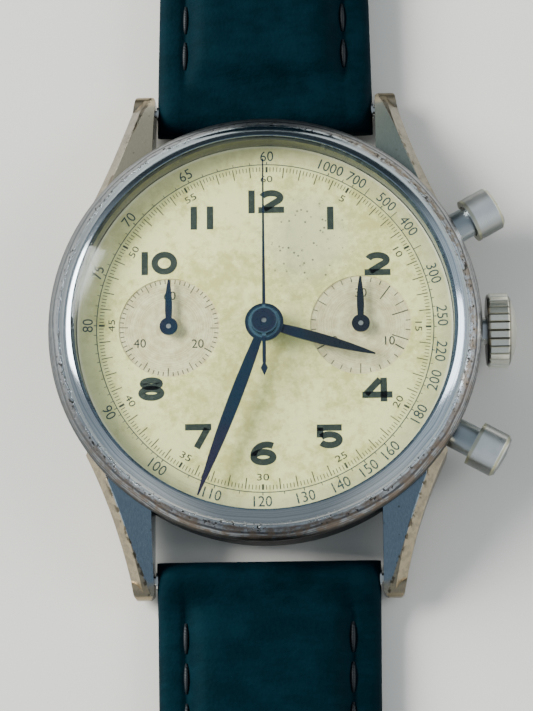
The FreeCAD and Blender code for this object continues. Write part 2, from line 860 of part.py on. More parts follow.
pusher_tubes = []
for name, angle in (("start", pusher_angle), ("reset", -pusher_angle)):
    tube = lathe(
        f"{name}_pusher_tube",
        [
            (pusher_stem_radius + running_gap, 0),
            (pusher_tube_radius, 0),
            (pusher_tube_radius, pusher_tube_end - tube_start),
            (spring_pocket, pusher_tube_end - tube_start),
            (spring_pocket, pocket_start - tube_start),
            (pusher_stem_radius + running_gap, pocket_start - tube_start),
        ],
    )
    x, y = polar(tube_start, angle)
    pusher_tubes.append(put(tube, x, y, stem_level, outward(angle.now)))
    plunger = lathe(
        f"{name}_pusher",
        [
            (0, 0),
            (pusher_stem_radius, 0),
            (pusher_stem_radius, cap_ceiling - plunger_tip),
            (pusher_tube_radius + running_gap * 2, cap_ceiling - plunger_tip),
            (pusher_tube_radius + running_gap * 2, pusher_cap_start - plunger_tip),
            (pusher_cap_radius, pusher_cap_start - plunger_tip),
            (pusher_cap_radius, cap_end - 0.3),
            (pusher_cap_radius - 0.3, cap_end),
            (0, cap_end + cap_doming, dome_radius(cap_doming, pusher_cap_radius - 0.3)),
        ],
    )
    x, y = polar(plunger_tip, angle)
    put(plunger, x, y, stem_level, outward(angle.now))
    spring_radius = (pusher_stem_radius + spring_pocket).now / 2
    spring_start = pocket_start + spring_wire * 0.6
    spring = coil(spring_radius, spring_wire.now, (cap_ceiling - spring_start).now - 0.12, spring_turns)
    spring_node = feature(f"{name}_pusher_spring", spring)
    x, y = polar(spring_start, angle)
    spring_node.Placement = FreeCAD.Placement(Vector(x.now, y.now, stem_level.now), outward(angle.now))

together("pusher_tubes", pusher_tubes)

# ---------------------------------------------------------------- spring bars
spring_bars = []
for name, side in (("upper", 1), ("lower", -1)):
    bar_length = lug_gap - 0.3
    pivots = rod(
        f"{name}_bar_pivots", bar_pivot_radius, (lug_inside + bar_pivot_length) * 2,
        x=-(lug_inside + bar_pivot_length), y=bar_reach * side, z=bar_level, rotation=SIDEWAYS,
    )
    barrel = rod(
        f"{name}_bar_barrel", bar_radius, bar_length,
        x=-(bar_length / 2), y=bar_reach * side, z=bar_level, rotation=SIDEWAYS,
    )
    spring_bars.append(joined(f"{name}_spring_bar", [pivots, barrel]))
together("spring_bars", spring_bars)

# ---------------------------------------------------------------- main plate and bridges
hole_tools = {"plate": [], "barrel": [], "train": [], "cock": []}
pivot_hole = pivot_radius + running_gap / 2
through_hole = arbor_radius + running_gap
recess_level = dial_level - 0.75
recess_radius = minute_wheel_reach + (minute_wheel_teeth / 2 + 1) * motion_module + 0.15
plate_holes = (
    ("centre", centre_at, Size.of(0.55)),
    ("third", third_at, pivot_hole),
    ("fourth", fourth_at, through_hole),
    ("escape", escape_at, pivot_hole),
    ("fork", fork_at, pivot_hole),
    ("balance", balance_at, pivot_hole),
    ("barrel", barrel_at, Size.of(0.55)),
    ("recorder", recorder_at, through_hole),
)
for name, spot, radius in plate_holes:
    tool = small_hole(f"plate_{name}_hole", radius, plate_thickness + 1, *spot, plate_level - 0.5)
    hole_tools["plate"].append(tool)


def pusher_notch(name, angle, low, high):
    """The room that a pusher's tip and its lever need in the movement's rim."""
    reach = movement_radius - 2.2
    x, y = polar(reach, angle)
    half = pusher_tube_radius
    box = block(name, 4, half * 2, high - low, rotation=Rotation(angle.now, 0, 0))
    return put(box, x + half * sine(angle), y - half * cosine(angle), low, Rotation(angle.now, 0, 0))


slot_start = lever_post_x - 0.8
winding_pinion_x = register_offset + crown_wheel_teeth * winding_module / 2
pinion_radius = stem_level - bridge_level - 0.02
pinion_slot = winding_pinion_x - 0.8
plate_cuts = [
    rod("train_cavity", movement_radius - plate_rim, train_room + 0.5, z=train_level - 0.5),
    rod("motion_recess", recess_radius, 1, z=recess_level),
    small_hole("stem_hole", stem_radius + running_gap, 8, x=stem_start, z=stem_level, rotation=SIDEWAYS),
    block("lever_slot", 4, 3.2, plate_level - setting_lever_level + 0.2,
          slot_start, -0.9, setting_lever_level - 0.15),
    block("pinion_slot", 1.6, pinion_radius * 2.3, pinion_radius * 0.45,
          pinion_slot, -(pinion_radius * 1.15), plate_level - 0.1),
    pusher_notch("plate_start_notch", pusher_angle, train_level - 0.5, plate_level - 0.2),
    pusher_notch("plate_reset_notch", -pusher_angle, train_level - 0.5, plate_level - 0.2),
]
plate_blank = joined(
    "plate_blank",
    [
        rod("plate_disc", movement_radius, dial_level - train_level, z=train_level),
        rod("plate_flange_disc", plate_flange_radius, plate_flange, z=flange_level),
    ],
)
post_radius = 0.3
stud_radius = 0.35
stud_level = lever_level
core_radius = 0.9
core_height = 0.45


def grown(x, y):
    """A point of the movement's plan, as two numbers that grow with the movement."""
    return x * growth.now, y * growth.now


operating_pivot = grown(9.6, 9.2)
hammer_pivot = grown(4.0, -11.2)
cam_pivot = grown(5.6, 9.6)
screw_angles = {"barrel": (75, -10), "train": (105, 185), "cock": ()}
balance_heading = heading_between(centre_at, balance_at)
screw_ring = movement_radius - plate_rim / 2
screw_spots = []
for owner, angles in screw_angles.items():
    for angle in angles:
        screw_spots.append((owner, polar(screw_ring, Size.of(angle))))
cock_turn = Size.of(round(balance_heading, 1))
screw_spots.append(("cock", polar(screw_ring, cock_turn)))
screw_hole = screw_radius * 0.6 + seat_gap
screw_depth = 1.2
bridge_drill = bridge_thickness + 1
for index, (owner, spot) in enumerate(screw_spots):
    hole_tools["plate"].append(
        small_hole(f"plate_screw_hole_{index}", screw_hole, screw_depth + 0.05, *spot, train_level - 0.05)
    )
    hole_tools[owner].append(
        small_hole(f"bridge_screw_hole_{index}", screw_hole, bridge_drill, *spot, bridge_level - 0.5)
    )
plate_cut = without("plate_cut", plate_blank, plate_cuts + hole_tools["plate"])
minute_post = small_rod("minute_wheel_post", post_radius, 0.65, *minute_wheel_at, recess_level - 0.1)
stud_height = plate_level - stud_level + 0.1
hammer_stud = small_rod("hammer_stud", stud_radius, stud_height, *hammer_pivot, stud_level)
joined("main_plate", [plate_cut, minute_post, hammer_stud])

for owner, name, spot, radius in (
    ("barrel", "barrel", barrel_at, Size.of(0.55)),
    ("barrel", "recorder", recorder_at, through_hole),
    ("train", "centre", centre_at, Size.of(0.5)),
    ("train", "third", third_at, jewel_radius + seat_gap),
    ("train", "fourth", fourth_at, jewel_radius + seat_gap),
    ("train", "escape", escape_at, jewel_radius + seat_gap),
    ("cock", "balance", balance_at, jewel_radius + seat_gap),
):
    hole_tools[owner].append(
        small_hole(f"bridge_{name}_hole", radius, bridge_drill, *spot, bridge_level - 0.5)
    )
hole_tools["barrel"] += [
    block("bridge_pinion_slot", 1.6, pinion_radius * 2.3, bridge_thickness + 0.2,
          pinion_slot, -(pinion_radius * 1.15), bridge_level - 0.1),
    pusher_notch("bridge_start_notch", pusher_angle, bridge_level - 0.1, train_level + 0.1),
]
bridge_split = centre_at[0] + 1.0
cock_width = 4.6
cock_start = Size.of(math.hypot(balance_at[0].now, balance_at[1].now) - 1.2)
half_split = 0.1
barrel_edge = growth * 3.6
train_edge = growth * 5.2
plan_length = movement_radius * 1.1
barrel_plan = block("barrel_bridge_plan", plan_length, movement_radius + barrel_edge, bridge_thickness,
                    bridge_split + half_split, -barrel_edge, bridge_level)
train_plan = block("train_bridge_plan", plan_length, movement_radius + train_edge, bridge_thickness,
                   bridge_split - half_split - plan_length, -train_edge, bridge_level)
cock_x, cock_y = polar(cock_start, cock_turn)
cock_plan = block("cock_plan", 9, cock_width, bridge_thickness, rotation=Rotation(cock_turn.now, 0, 0))
put(
    cock_plan,
    cock_x + sine(cock_turn) * cock_width / 2,
    cock_y - cosine(cock_turn) * cock_width / 2,
    bridge_level,
    Rotation(cock_turn.now, 0, 0),
)
bridges = {}
for label, owner, plan in (
    ("barrel_bridge", "barrel", barrel_plan),
    ("train_bridge", "train", train_plan),
    ("balance_cock", "cock", cock_plan),
):
    whole = rod(f"{label}_disc", movement_radius, bridge_thickness, z=bridge_level)
    drilled = label if owner != "barrel" else f"{label}_drilled"
    bridges[owner] = without(drilled, shared(f"{label}_blank", [whole, plan]), hole_tools[owner])
core = without(
    "crown_wheel_core",
    rod("crown_wheel_core_outside", core_radius, core_height + 0.1,
        *recorder_at, bridge_level - core_height),
    [small_hole("crown_wheel_core_hole", through_hole, 3, *recorder_at, bridge_level - 1)],
)
stud_rods = [
    small_rod(f"{name}_stud", stud_radius, bridge_level - stud_level + 0.1, *pivot, stud_level)
    for name, pivot in (("operating", operating_pivot), ("cam", cam_pivot))
]
joined("barrel_bridge", [bridges["barrel"], core] + stud_rods)

head_height = 0.35
screws = []
for index, (owner, spot) in enumerate(screw_spots):
    head = small_rod(f"screw_head_{index}", screw_radius, head_height, *spot, bridge_level - head_height)
    shank = small_rod(f"screw_shank_{index}", screw_radius * 0.6, bridge_thickness + screw_depth - 0.1,
                *spot, bridge_level - 0.05)
    slot = block(f"screw_slot_{index}", screw_radius * 3, 0.22, 0.15,
                 spot[0] - screw_radius * 1.5, spot[1] - 0.11, bridge_level - head_height - 0.02)
    screws.append(without(f"screw_{index}", joined(f"screw_blank_{index}", [head, shank]), [slot]))
together("bridge_screws", screws)

jewels = []
for name, spot, radius in (
    ("third", third_at, pivot_hole),
    ("fourth", fourth_at, through_hole),
    ("escape", escape_at, pivot_hole),
    ("balance", balance_at, pivot_hole),
):
    stone_height = bridge_thickness - 0.1
    stone = small_rod(f"jewel_stone_{name}", jewel_radius, stone_height, *spot, bridge_level + 0.05)
    bore = small_hole(f"jewel_eye_{name}", radius, bridge_drill, *spot, bridge_level - 0.5)
    jewels.append(without(f"jewel_{name}", stone, [bore]))
together("jewels", jewels)

# The pallet cock: an arm from a foot on the plate to the fork's pivot.
cock_level = train_level + 0.7
cock_heading = lever_heading - 90
foot_at = (fork_at[0] + cosine(cock_heading) * 2.0, fork_at[1] + sine(cock_heading) * 2.0)
cock_arm = block("fork_cock_arm", 2.0, 0.8, 0.25, rotation=Rotation(cock_heading.now, 0, 0))
put(
    cock_arm,
    fork_at[0] + sine(cock_heading) * 0.4,
    fork_at[1] - cosine(cock_heading) * 0.4,
    cock_level,
    Rotation(cock_heading.now, 0, 0),
)
without(
    "pallet_cock",
    joined(
        "pallet_cock_blank",
        [
            cock_arm,
            small_rod("fork_cock_eye", 0.4, 0.25, *fork_at, cock_level),
            small_rod("fork_cock_foot", 0.5, plate_level - cock_level, *foot_at, cock_level),
        ],
    ),
    [small_hole("fork_cock_hole", pivot_hole, 1, *fork_at, cock_level - 0.5)],
)

# ---------------------------------------------------------------- going train
train_low = train_level.now
train_high = plate_level.now
leaf = wheel_thickness.now
wheel_levels = {
    "barrel": train_low + 0.1,
    "fourth": train_low + 0.2,
    "third": train_low + 0.75,
    "escape": train_low + 1.1,
    "centre": train_low + 1.35,
}


def level_of(name):
    low = wheel_levels[name]
    return low, low + leaf


def node_at(label, shapes, spot, turn=0.0):
    return feature(label, shapes[0].fuse(shapes[1:]), *spot, turn=turn)


barrel_low = wheel_levels["barrel"]
barrel_high = barrel_low + barrel_height.now
drum_radius = barrel_module.now * (barrel_teeth.now / 2 - TOOTH_DEPTH) - 0.15
barrel_turn = 0.0
drum = prism(wheel_points(barrel_teeth.now, barrel_module.now), barrel_low, barrel_low + 0.35)
drum = drum.fuse(disc(drum_radius, barrel_low + 0.1, barrel_high))
drum = drum.cut(disc(drum_radius - 0.3, barrel_low + 0.2, barrel_high - 0.15))
drum = drum.cut(eye(0.5 + running_gap.now))
feature("mainspring_barrel", drum, *barrel_at)

strip_turns = 5
strip_steps = 12 * strip_turns


def spiral(inner, outer, turns, steps, wall, low, high):
    """A flat spiral strip, wound about the Z axis."""
    near, far = [], []
    for step in range(steps + 1):
        angle = 2 * math.pi * turns * step / steps
        radius = inner + (outer - inner) * step / steps
        near.append(((radius - wall / 2) * math.cos(angle), (radius - wall / 2) * math.sin(angle)))
        far.append(((radius + wall / 2) * math.cos(angle), (radius + wall / 2) * math.sin(angle)))
    return prism(near + far[::-1], low, high)


strip_low, strip_high = barrel_low + 0.28, barrel_high - 0.23
spring_strip = spiral(1.3, drum_radius - 0.45, strip_turns, strip_steps, 0.16, strip_low, strip_high)
feature("mainspring", spring_strip, *barrel_at)
ratchet_low = bridge_level.now - 0.4
arbor_parts = [
    pin(0.5, ratchet_low, train_high + 0.6),
    pin(0.95, barrel_low + 0.3, barrel_high - 0.25),
]
node_at("barrel_arbor", arbor_parts, barrel_at)

to_barrel = heading_between(centre_at, barrel_at)
to_third = heading_between(centre_at, third_at)
to_fourth = heading_between(third_at, fourth_at)
to_escape = heading_between(fourth_at, escape_at)
centre_pinion_turn = meshing(barrel_teeth.now, barrel_turn, centre_pinion_teeth.now, to_barrel + 180)
third_pinion_turn = meshing(centre_teeth.now, 0, third_pinion_teeth.now, to_third)
fourth_pinion_turn = meshing(third_teeth.now, 0, fourth_pinion_teeth.now, to_fourth)
escape_pinion_turn = meshing(fourth_teeth.now, 0, escape_pinion_teeth.now, to_escape)
thin_radius = 0.2  # the chronograph's arbors, and the fourth wheel's where it carries its hand
pipe_inside = thin_radius + running_gap.now
pipe_outside = 0.45
cannon_top = minute_level.now + hand_thickness.now
low, high = level_of("centre")
centre_shapes = [
    disc(pipe_outside, bridge_level.now + 0.05, cannon_top),
    pinion(centre_pinion_teeth.now, barrel_module.now, barrel_low, barrel_low + 0.4, centre_pinion_turn),
    armed_wheel(centre_teeth.now, centre_module.now, low, high, 4, 0.9),
]
centre_solid = centre_shapes[0].fuse(centre_shapes[1:]).cut(disc(pipe_inside, 0, cannon_top + 1))
feature("centre_wheel", centre_solid)

for label, spot, teeth, module, name, leaves, pinion_module, pinion_turn, pinion_low in (
    ("third_wheel", third_at, third_teeth, third_module, "third",
     third_pinion_teeth, centre_module, third_pinion_turn, wheel_levels["centre"] - 0.1),
    ("escape_wheel", escape_at, None, None, "escape",
     escape_pinion_teeth, fourth_module, escape_pinion_turn, wheel_levels["fourth"] - 0.1),
):
    low, high = level_of(name)
    shapes = [
        staff(train_low, train_high),
        pinion(leaves.now, pinion_module.now, pinion_low, pinion_low + 0.4, pinion_turn),
    ]
    if teeth:
        shapes.append(armed_wheel(teeth.now, module.now, low, high, 4, 0.8))
    else:
        count = int(escape_teeth.now)
        points = []
        for index in range(count):
            for share, scale in ((0.0, 1.0), (0.08, 0.99), (0.3, 0.8), (0.85, 0.78)):
                angle = 2 * math.pi * (index + share) / count
                reach = escape_radius.now * scale
                points.append((reach * math.cos(angle), reach * math.sin(angle)))
        club = prism(points, low, high)
        shapes.append(club.cut(windows(0.6, escape_radius.now * 0.62, 4, 0.3, low, high)))
    node_at(label, shapes, spot)

small_top = small_level.now + hand_thickness.now
low, high = level_of("fourth")
chrono_low = lever_level.now + 0.2
fourth_shapes = [
    pin(arbor_radius.now, chrono_low - 0.1, train_high - 0.05),
    pin(thin_radius, chrono_low - 0.15, small_top),
    pinion(fourth_pinion_teeth.now, third_module.now, wheel_levels["third"] - 0.1,
           wheel_levels["third"] + 0.3, fourth_pinion_turn),
    armed_wheel(fourth_teeth.now, fourth_module.now, low, high, 4, 0.8),
]
node_at("fourth_wheel", fourth_shapes, fourth_at)

# ---------------------------------------------------------------- escapement and balance
unit = escape_radius.now / 2
fork_end = fork_length.now - 0.62
half_fork = [
    (fork_end, 0.09), (fork_end, 0.28), (fork_end - 0.38, 0.28), (fork_end - 0.88, 0.12),
    (0.3 * unit, 0.2), (0.12 * unit, 1.3 * unit), (-0.3 * unit, 1.42 * unit),
    (-0.45 * unit, 1.2 * unit), (-0.16 * unit, 0.5 * unit),
]
fork_points = [(fork_end - 0.28, -0.09)] + [(x, -y) for x, y in half_fork] + half_fork[::-1]
fork_points.append((fork_end - 0.28, 0.09))
low, high = level_of("escape")
fork_staff = pin(0.15, cock_level.now + 0.29, train_high - 0.04)
fork_pivots = pin(pivot_radius.now, cock_level.now + 0.02, train_high + 0.4)
node_at("pallet_fork", [prism(fork_points, low, high), fork_staff, fork_pivots], fork_at, lever_heading.now)

rim_low = train_low + 0.3
rim_high = rim_low + 0.3
rim_screws = 4
rim_inside = balance_radius.now - balance_rim.now
balance = [
    washer(balance_radius.now, rim_inside, rim_low, rim_high),
    Part.makeBox(rim_inside * 2 + 0.2, 0.5, 0.3, Vector(-rim_inside - 0.1, -0.25, rim_low)),
    staff(train_low, train_high, 0.15),
    pin(0.5, cock_level.now + 0.02, cock_level.now + 0.2),
    pin(0.07, cock_level.now + 0.2, high, -0.37, 0.0),
]
for index in range(rim_screws):
    angle = 2 * math.pi * (index + 0.5) / rim_screws
    reach = balance_radius.now + 0.05
    spot = reach * math.cos(angle), reach * math.sin(angle)
    balance.append(pin(0.16, rim_low + 0.06, rim_high - 0.06, *spot))
node_at("balance_wheel", balance, balance_at, lever_heading.now)
feature("hairspring", spiral(0.35, 1.9, 6, 84, 0.08, train_low + 0.06, train_low + 0.24), *balance_at)

# ---------------------------------------------------------------- keyless work and motion work
ratchet_turn = 0.0
crown_wheel_turn = meshing(ratchet_teeth.now, ratchet_turn, crown_wheel_teeth.now,
                           heading_between(barrel_at, recorder_at))
ratchet_high = ratchet_low + 0.35
ratchet = prism(wheel_points(ratchet_teeth.now, winding_module.now), ratchet_low, ratchet_high)
feature("ratchet_wheel", ratchet.cut(eye(0.5 + seat_gap.now)), *barrel_at)
crown_wheel = prism(wheel_points(crown_wheel_teeth.now, winding_module.now), ratchet_low, ratchet_high)
crown_wheel = crown_wheel.cut(disc(core_radius + running_gap.now, 0, 9))
feature("crown_wheel", crown_wheel, *recorder_at, turn=crown_wheel_turn)
leaf_module = pinion_radius.now / (winding_leaves.now / 2 + TOOTH_HEIGHT)
winding_pinion = prism(leaf_points(winding_leaves.now, leaf_module), -0.35, 0.35)
winding_node = feature("winding_pinion", winding_pinion.cut(disc(stem_radius.now + running_gap.now, -2, 2)))
winding_node.Placement = FreeCAD.Placement(Vector(winding_pinion_x.now, 0, stem_level.now), SIDEWAYS)

recess = recess_level.now
cannon_turn = 0.0
minute_wheel_turn = meshing(cannon_teeth.now, cannon_turn, minute_wheel_teeth.now, TWELVE)
cannon_bore = pipe_outside + 0.02
cannon = prism(leaf_points(cannon_teeth.now, motion_module.now), recess + 0.05, recess + 0.37)
cannon_radius = 0.62
cannon = cannon.fuse(disc(cannon_radius, recess + 0.37, cannon_top)).cut(disc(cannon_bore, 0, 20))
feature("cannon_pinion", cannon)
minute_solid = prism(wheel_points(minute_wheel_teeth.now, motion_module.now), recess + 0.08, recess + 0.28)
minute_pinion = pinion(minute_pinion_teeth.now, motion_module.now, recess + 0.28, recess + 0.68)
minute_solid = minute_solid.fuse(minute_pinion).cut(eye(post_radius + 0.03))
feature("minute_wheel", minute_solid, *minute_wheel_at, turn=minute_wheel_turn)
hour_turn = meshing(minute_pinion_teeth.now, minute_wheel_turn, hour_wheel_teeth.now, -TWELVE)
hour_low = recess + 0.45
hour_solid = prism(wheel_points(hour_wheel_teeth.now, motion_module.now), hour_low, hour_low + 0.2)
hour_solid.rotate(Vector(), UP, hour_turn)
hour_pipe_radius = 0.92
hour_pipe = disc(hour_pipe_radius, hour_low, hour_level.now + hand_thickness.now)
feature("hour_wheel", hour_solid.fuse(hour_pipe).cut(disc(cannon_radius + running_gap.now, 0, 20)))

# ---------------------------------------------------------------- chronograph work
chrono_high = chrono_low + leaf
lever_low = chrono_high + 0.1
lever_high = lever_low + 0.2
END_STEPS = 6


def heart(radius, low, high):
    """The heart-shaped cam that a hammer turns back to zero."""
    points = []
    for step in range(14):
        angle = 2 * math.pi * step / 14
        share = abs(math.pi - angle) / math.pi
        reach = radius * (0.4 + 0.6 * share)
        points.append((reach * math.cos(angle), reach * math.sin(angle)))
    return prism(points, low, high)


sweep_top = sweep_level.now + hand_thickness.now
chrono_shapes = [
    pin(thin_radius, chrono_bridge_level.now + 0.1, sweep_top),
    armed_wheel(chrono_teeth.now, chrono_module.now, chrono_low, chrono_high, 5, 0.8),
    heart(0.8, lever_low, lever_high),
]
node_at("chronograph_wheel", chrono_shapes, centre_at)
recorder_shapes = [
    pin(thin_radius, chrono_bridge_level.now + 0.1, small_top),
    armed_wheel(recorder_teeth.now, chrono_module.now, chrono_low, chrono_high, 4, 0.7),
    heart(0.8, lever_low, lever_high),
]
node_at("minute_recorder_wheel", recorder_shapes, recorder_at)
sliding_turn = meshing(recorder_teeth.now, 0, sliding_teeth.now, heading_between(recorder_at, sliding_at))
sliding_radius = 0.15
sliding_shapes = [
    prism(wheel_points(sliding_teeth.now, chrono_module.now), chrono_low, chrono_high),
    pin(sliding_radius, chrono_bridge_level.now + 0.1, lever_low - 0.02),
]
node_at("sliding_gear", sliding_shapes, sliding_at, sliding_turn)
driving = prism(wheel_points(driving_teeth.now, chrono_module.now), chrono_low, chrono_high)
feature("chronograph_driving_wheel", driving.cut(eye(arbor_radius.now + 0.01)), *fourth_at)
coupling_turn = meshing(driving_teeth.now, 0, coupling_teeth.now, heading_between(fourth_at, coupling_at))
coupling_bore = thin_radius + running_gap.now
coupling = prism(wheel_points(coupling_teeth.now, chrono_module.now), chrono_low, chrono_high)
feature("coupling_wheel", coupling.cut(eye(coupling_bore)), *coupling_at, turn=coupling_turn)


def bar(start, end, width, low, high):
    """A lever's arm: a straight strip with round ends, from one point to another."""
    heading = math.atan2(end[1] - start[1], end[0] - start[0])
    corners = []
    for spot, turn in ((start, heading + math.pi / 2), (end, heading - math.pi / 2)):
        for step in range(END_STEPS + 1):
            angle = turn + math.pi * step / END_STEPS
            across, along = math.cos(angle) * width / 2, math.sin(angle) * width / 2
            corners.append((spot[0] + across, spot[1] + along))
    return prism(corners, low, high)


def numbers(spot):
    return spot[0].now, spot[1].now


fourth_spot, coupling_spot = numbers(fourth_at), numbers(coupling_at)
lever_solid = bar(fourth_spot, coupling_spot, 1.1, lever_low, lever_high)
lever_solid = lever_solid.fuse(pin(thin_radius, chrono_low - 0.03, lever_low, *coupling_spot))
lever_solid = lever_solid.fuse(bar(fourth_spot, grown(-8.95, 4.6), 0.8, lever_low, lever_high))
feature("coupling_lever", lever_solid.cut(eye(arbor_radius.now + running_gap.now, *fourth_spot)))

tab_reach = movement_radius.now - 0.95
start_tab = tuple(value.now for value in polar(Size.of(tab_reach), pusher_angle))
reset_tab = (start_tab[0], -start_tab[1])


def tab(spot, angle):
    """The upturned end of a lever, which its pusher meets."""
    plate = Part.makeBox(0.5, 1.2, stem_level.now + 0.5 - lever_low, Vector(-0.25, -0.6, lever_low))
    plate.rotate(Vector(), UP, angle)
    plate.translate(Vector(*spot, 0))
    return plate


def lever_node(label, shapes, pivot, bore):
    solid = shapes[0].fuse(shapes[1:])
    return feature(label, solid.cut(eye(bore, *pivot)))


stud_bore = stud_radius + running_gap.now
lever_node(
    "operating_lever",
    [
        bar(operating_pivot, start_tab, 1.1, lever_low, lever_high),
        bar(operating_pivot, grown(7.6, 10.2), 0.8, lever_low, lever_high),
        tab(start_tab, pusher_angle.now),
    ],
    operating_pivot,
    stud_bore,
)
lever_node(
    "reset_hammer",
    [
        bar(hammer_pivot, reset_tab, 1.1, lever_low, lever_high),
        bar(hammer_pivot, grown(2.75, -0.1), 0.9, lever_low, lever_high),
        bar(hammer_pivot, grown(10.6, -0.1), 0.9, lever_low, lever_high),
        tab(reset_tab, -pusher_angle.now),
    ],
    hammer_pivot,
    stud_bore,
)
cam_shapes = [disc(1.35, chrono_low, chrono_high)]
for index in range(2):
    cut_at = math.radians(200 + 80 * index)
    cam_shapes[0] = cam_shapes[0].cut(eye(0.45, 1.4 * math.cos(cut_at), 1.4 * math.sin(cut_at)))
feature("switching_cam", cam_shapes[0].cut(eye(stud_bore)), *cam_pivot)

chrono_bridge_low = chrono_bridge_level.now
pillar_spots = (grown(-0.9, 4.6), grown(-0.7, -4.7), grown(11.6, 3.1))
chrono_bridge_high = chrono_bridge_low + chrono_bridge_thickness.now
bridge_bars = [
    bar(pillar_spots[0], pillar_spots[1], 1.9, chrono_bridge_low, chrono_bridge_high),
    bar((0, 0), numbers(recorder_at), 1.6, chrono_bridge_low, chrono_bridge_high),
    bar(numbers(recorder_at), pillar_spots[2], 1.4, chrono_bridge_low, chrono_bridge_high),
    bar(numbers(recorder_at), numbers(sliding_at), 1.0, chrono_bridge_low, chrono_bridge_high),
]
bridge_bars += [pin(0.45, chrono_bridge_low, bridge_level.now, *spot) for spot in pillar_spots]
chrono_bridge = bridge_bars[0].fuse(bridge_bars[1:])
for spot, radius in ((centre_at, thin_radius), (recorder_at, thin_radius), (sliding_at, sliding_radius)):
    chrono_bridge = chrono_bridge.cut(eye(radius + running_gap.now, *numbers(spot)))
feature("chronograph_bridge", chrono_bridge)

# ---------------------------------------------------------------- dial and hands
dial_radius = opening_radius - dial_gap
dial_tools = [
    rod("dial_centre_hole", 1.15, 2, z=dial_level - 0.5),
    rod("left_register_hole", 0.3, 2, *fourth_at, dial_level - 0.5),
    rod("right_register_hole", 0.3, 2, *recorder_at, dial_level - 0.5),
    rod("left_register", register_radius, 1, *fourth_at, dial_top - register_depth),
    rod("right_register", register_radius, 1, *recorder_at, dial_top - register_depth),
]
without("dial", rod("dial_disc", dial_radius, dial_thickness, z=dial_level), dial_tools)


def leaf_hand(length, width, root_width, low, high):
    """A leaf-shaped blade along +X: widest at two fifths of its length."""
    wide = Vector(length * 0.42, width / 2, low)
    start, tip = Vector(0, root_width / 2, low), Vector(length, 0.06, low)
    mirror = [Vector(p.x, -p.y, p.z) for p in (start, wide, tip)]
    edges = [
        Part.Arc(start, wide, tip).toShape(),
        Part.LineSegment(tip, mirror[2]).toShape(),
        Part.Arc(mirror[2], mirror[1], mirror[0]).toShape(),
        Part.LineSegment(mirror[0], start).toShape(),
    ]
    return Part.Face(Part.Wire(edges)).extrude(Vector(0, 0, high - low))


def hand(label, blades, boss, bore, low, spot, turn):
    shape = disc(boss, low, low + hand_thickness.now).fuse(blades)
    feature(label, shape.cut(disc(bore, 0, 20)), *spot, turn=turn)


thick = hand_thickness.now
low = hour_level.now
hour_blade = leaf_hand(hour_hand_length.now, hour_hand_width.now, 0.5, low, low + thick)
hand("hour_hand", [hour_blade], 1.5, hour_pipe_radius + 0.01, low, centre_at, TWELVE - hour_shown.now)
low = minute_level.now
minute_blade = leaf_hand(minute_hand_length.now, minute_hand_width.now, 0.5, low, low + thick)
hand("minute_hand", [minute_blade], 1.6, cannon_radius + 0.02, low, centre_at, TWELVE - minute_shown.now)
low = sweep_level.now
tail_end = -sweep_tail_length.now
half = sweep_hand_width.now / 2
sweep_tip = sweep_hand_length.now
diamond = 0.65  # half the length of the counterweight at the tail's end
sweep = [
    prism([(0, -half), (sweep_tip, -half / 3), (sweep_tip, half / 3), (0, half)], low, low + thick),
    prism([(tail_end + 1.1, -half), (0, -half), (0, half), (tail_end + 1.1, half)], low, low + thick),
    prism(
        [
            (tail_end, 0), (tail_end + diamond, -0.29),
            (tail_end + diamond * 2, 0), (tail_end + diamond, 0.29),
        ],
        low,
        low + thick,
    ),
    disc(1.07, low, low + thick * 1.8),
]
hand("chronograph_hand", sweep, 1.07, thin_radius + 0.01, low, centre_at, TWELVE)
low = small_level.now
for label, spot in (("running_seconds_hand", fourth_at), ("minute_counter_hand", recorder_at)):
    blade = leaf_hand(small_hand_length.now, small_hand_width.now, 0.35, low, low + thick)
    hand(label, [blade], 0.75, thin_radius + 0.01, low, spot, TWELVE)

# ---------------------------------------------------------------- strap and buckle
loop_radius = bar_radius + running_gap * 2 + strap_loop_wall
buckle_bar_y = bar_reach + buckle_side_length
buckle_bar_level = strap_level + strap_end_thickness / 2
end_loop_radius = buckle_bar_radius + 0.1 + 0.55


def strap_side(label, side, level, length, extra_parts, tools, tip_radius=None):
    """One half of the strap: a loop on its spring bar and a band that narrows and thins."""
    start, end = bar_reach, bar_reach + length
    half, end_half = strap_width / 2, strap_end_width / 2
    body_profile = slab(
        f"{label}_profile",
        [
            (start, level),
            (end, level),
            (end, level + strap_end_thickness),
            (start + 3, level + strap_thickness),
            (start, level + strap_thickness),
        ],
        strap_width,
        "YZ_Plane",
    )
    put(body_profile, x=-half)
    loop_rod = rod(f"{label}_loop", loop_radius, strap_width, -half, start, bar_level, SIDEWAYS)
    band = joined(f"{label}_band", [body_profile, loop_rod] + extra_parts)
    near = start - loop_radius - 0.5
    corners = [(-half, near), (half, near), (half, start)]
    if tip_radius:
        corners += [(end_half, end - 9), (0, end, tip_radius), (-end_half, end - 9, tip_radius)]
    else:
        corners += [(end_half, end + 3), (-end_half, end + 3)]
    corners.append((-half, start))
    plan = slab(f"{label}_plan", corners, 8)
    shaped = shared(f"{label}_shape", [band, plan])
    bore = rod(f"{label}_bore", bar_radius + running_gap * 2, strap_width + 2,
               -half - 1, start, bar_level, SIDEWAYS)
    finished = without(f"{label}_cut", shaped, [bore] + tools)
    if side > 0:
        finished.Label = label
        return finished
    turned = together(label, [finished])
    turned.Placement = FreeCAD.Placement(Vector(), Rotation(180, 0, 0))
    return turned


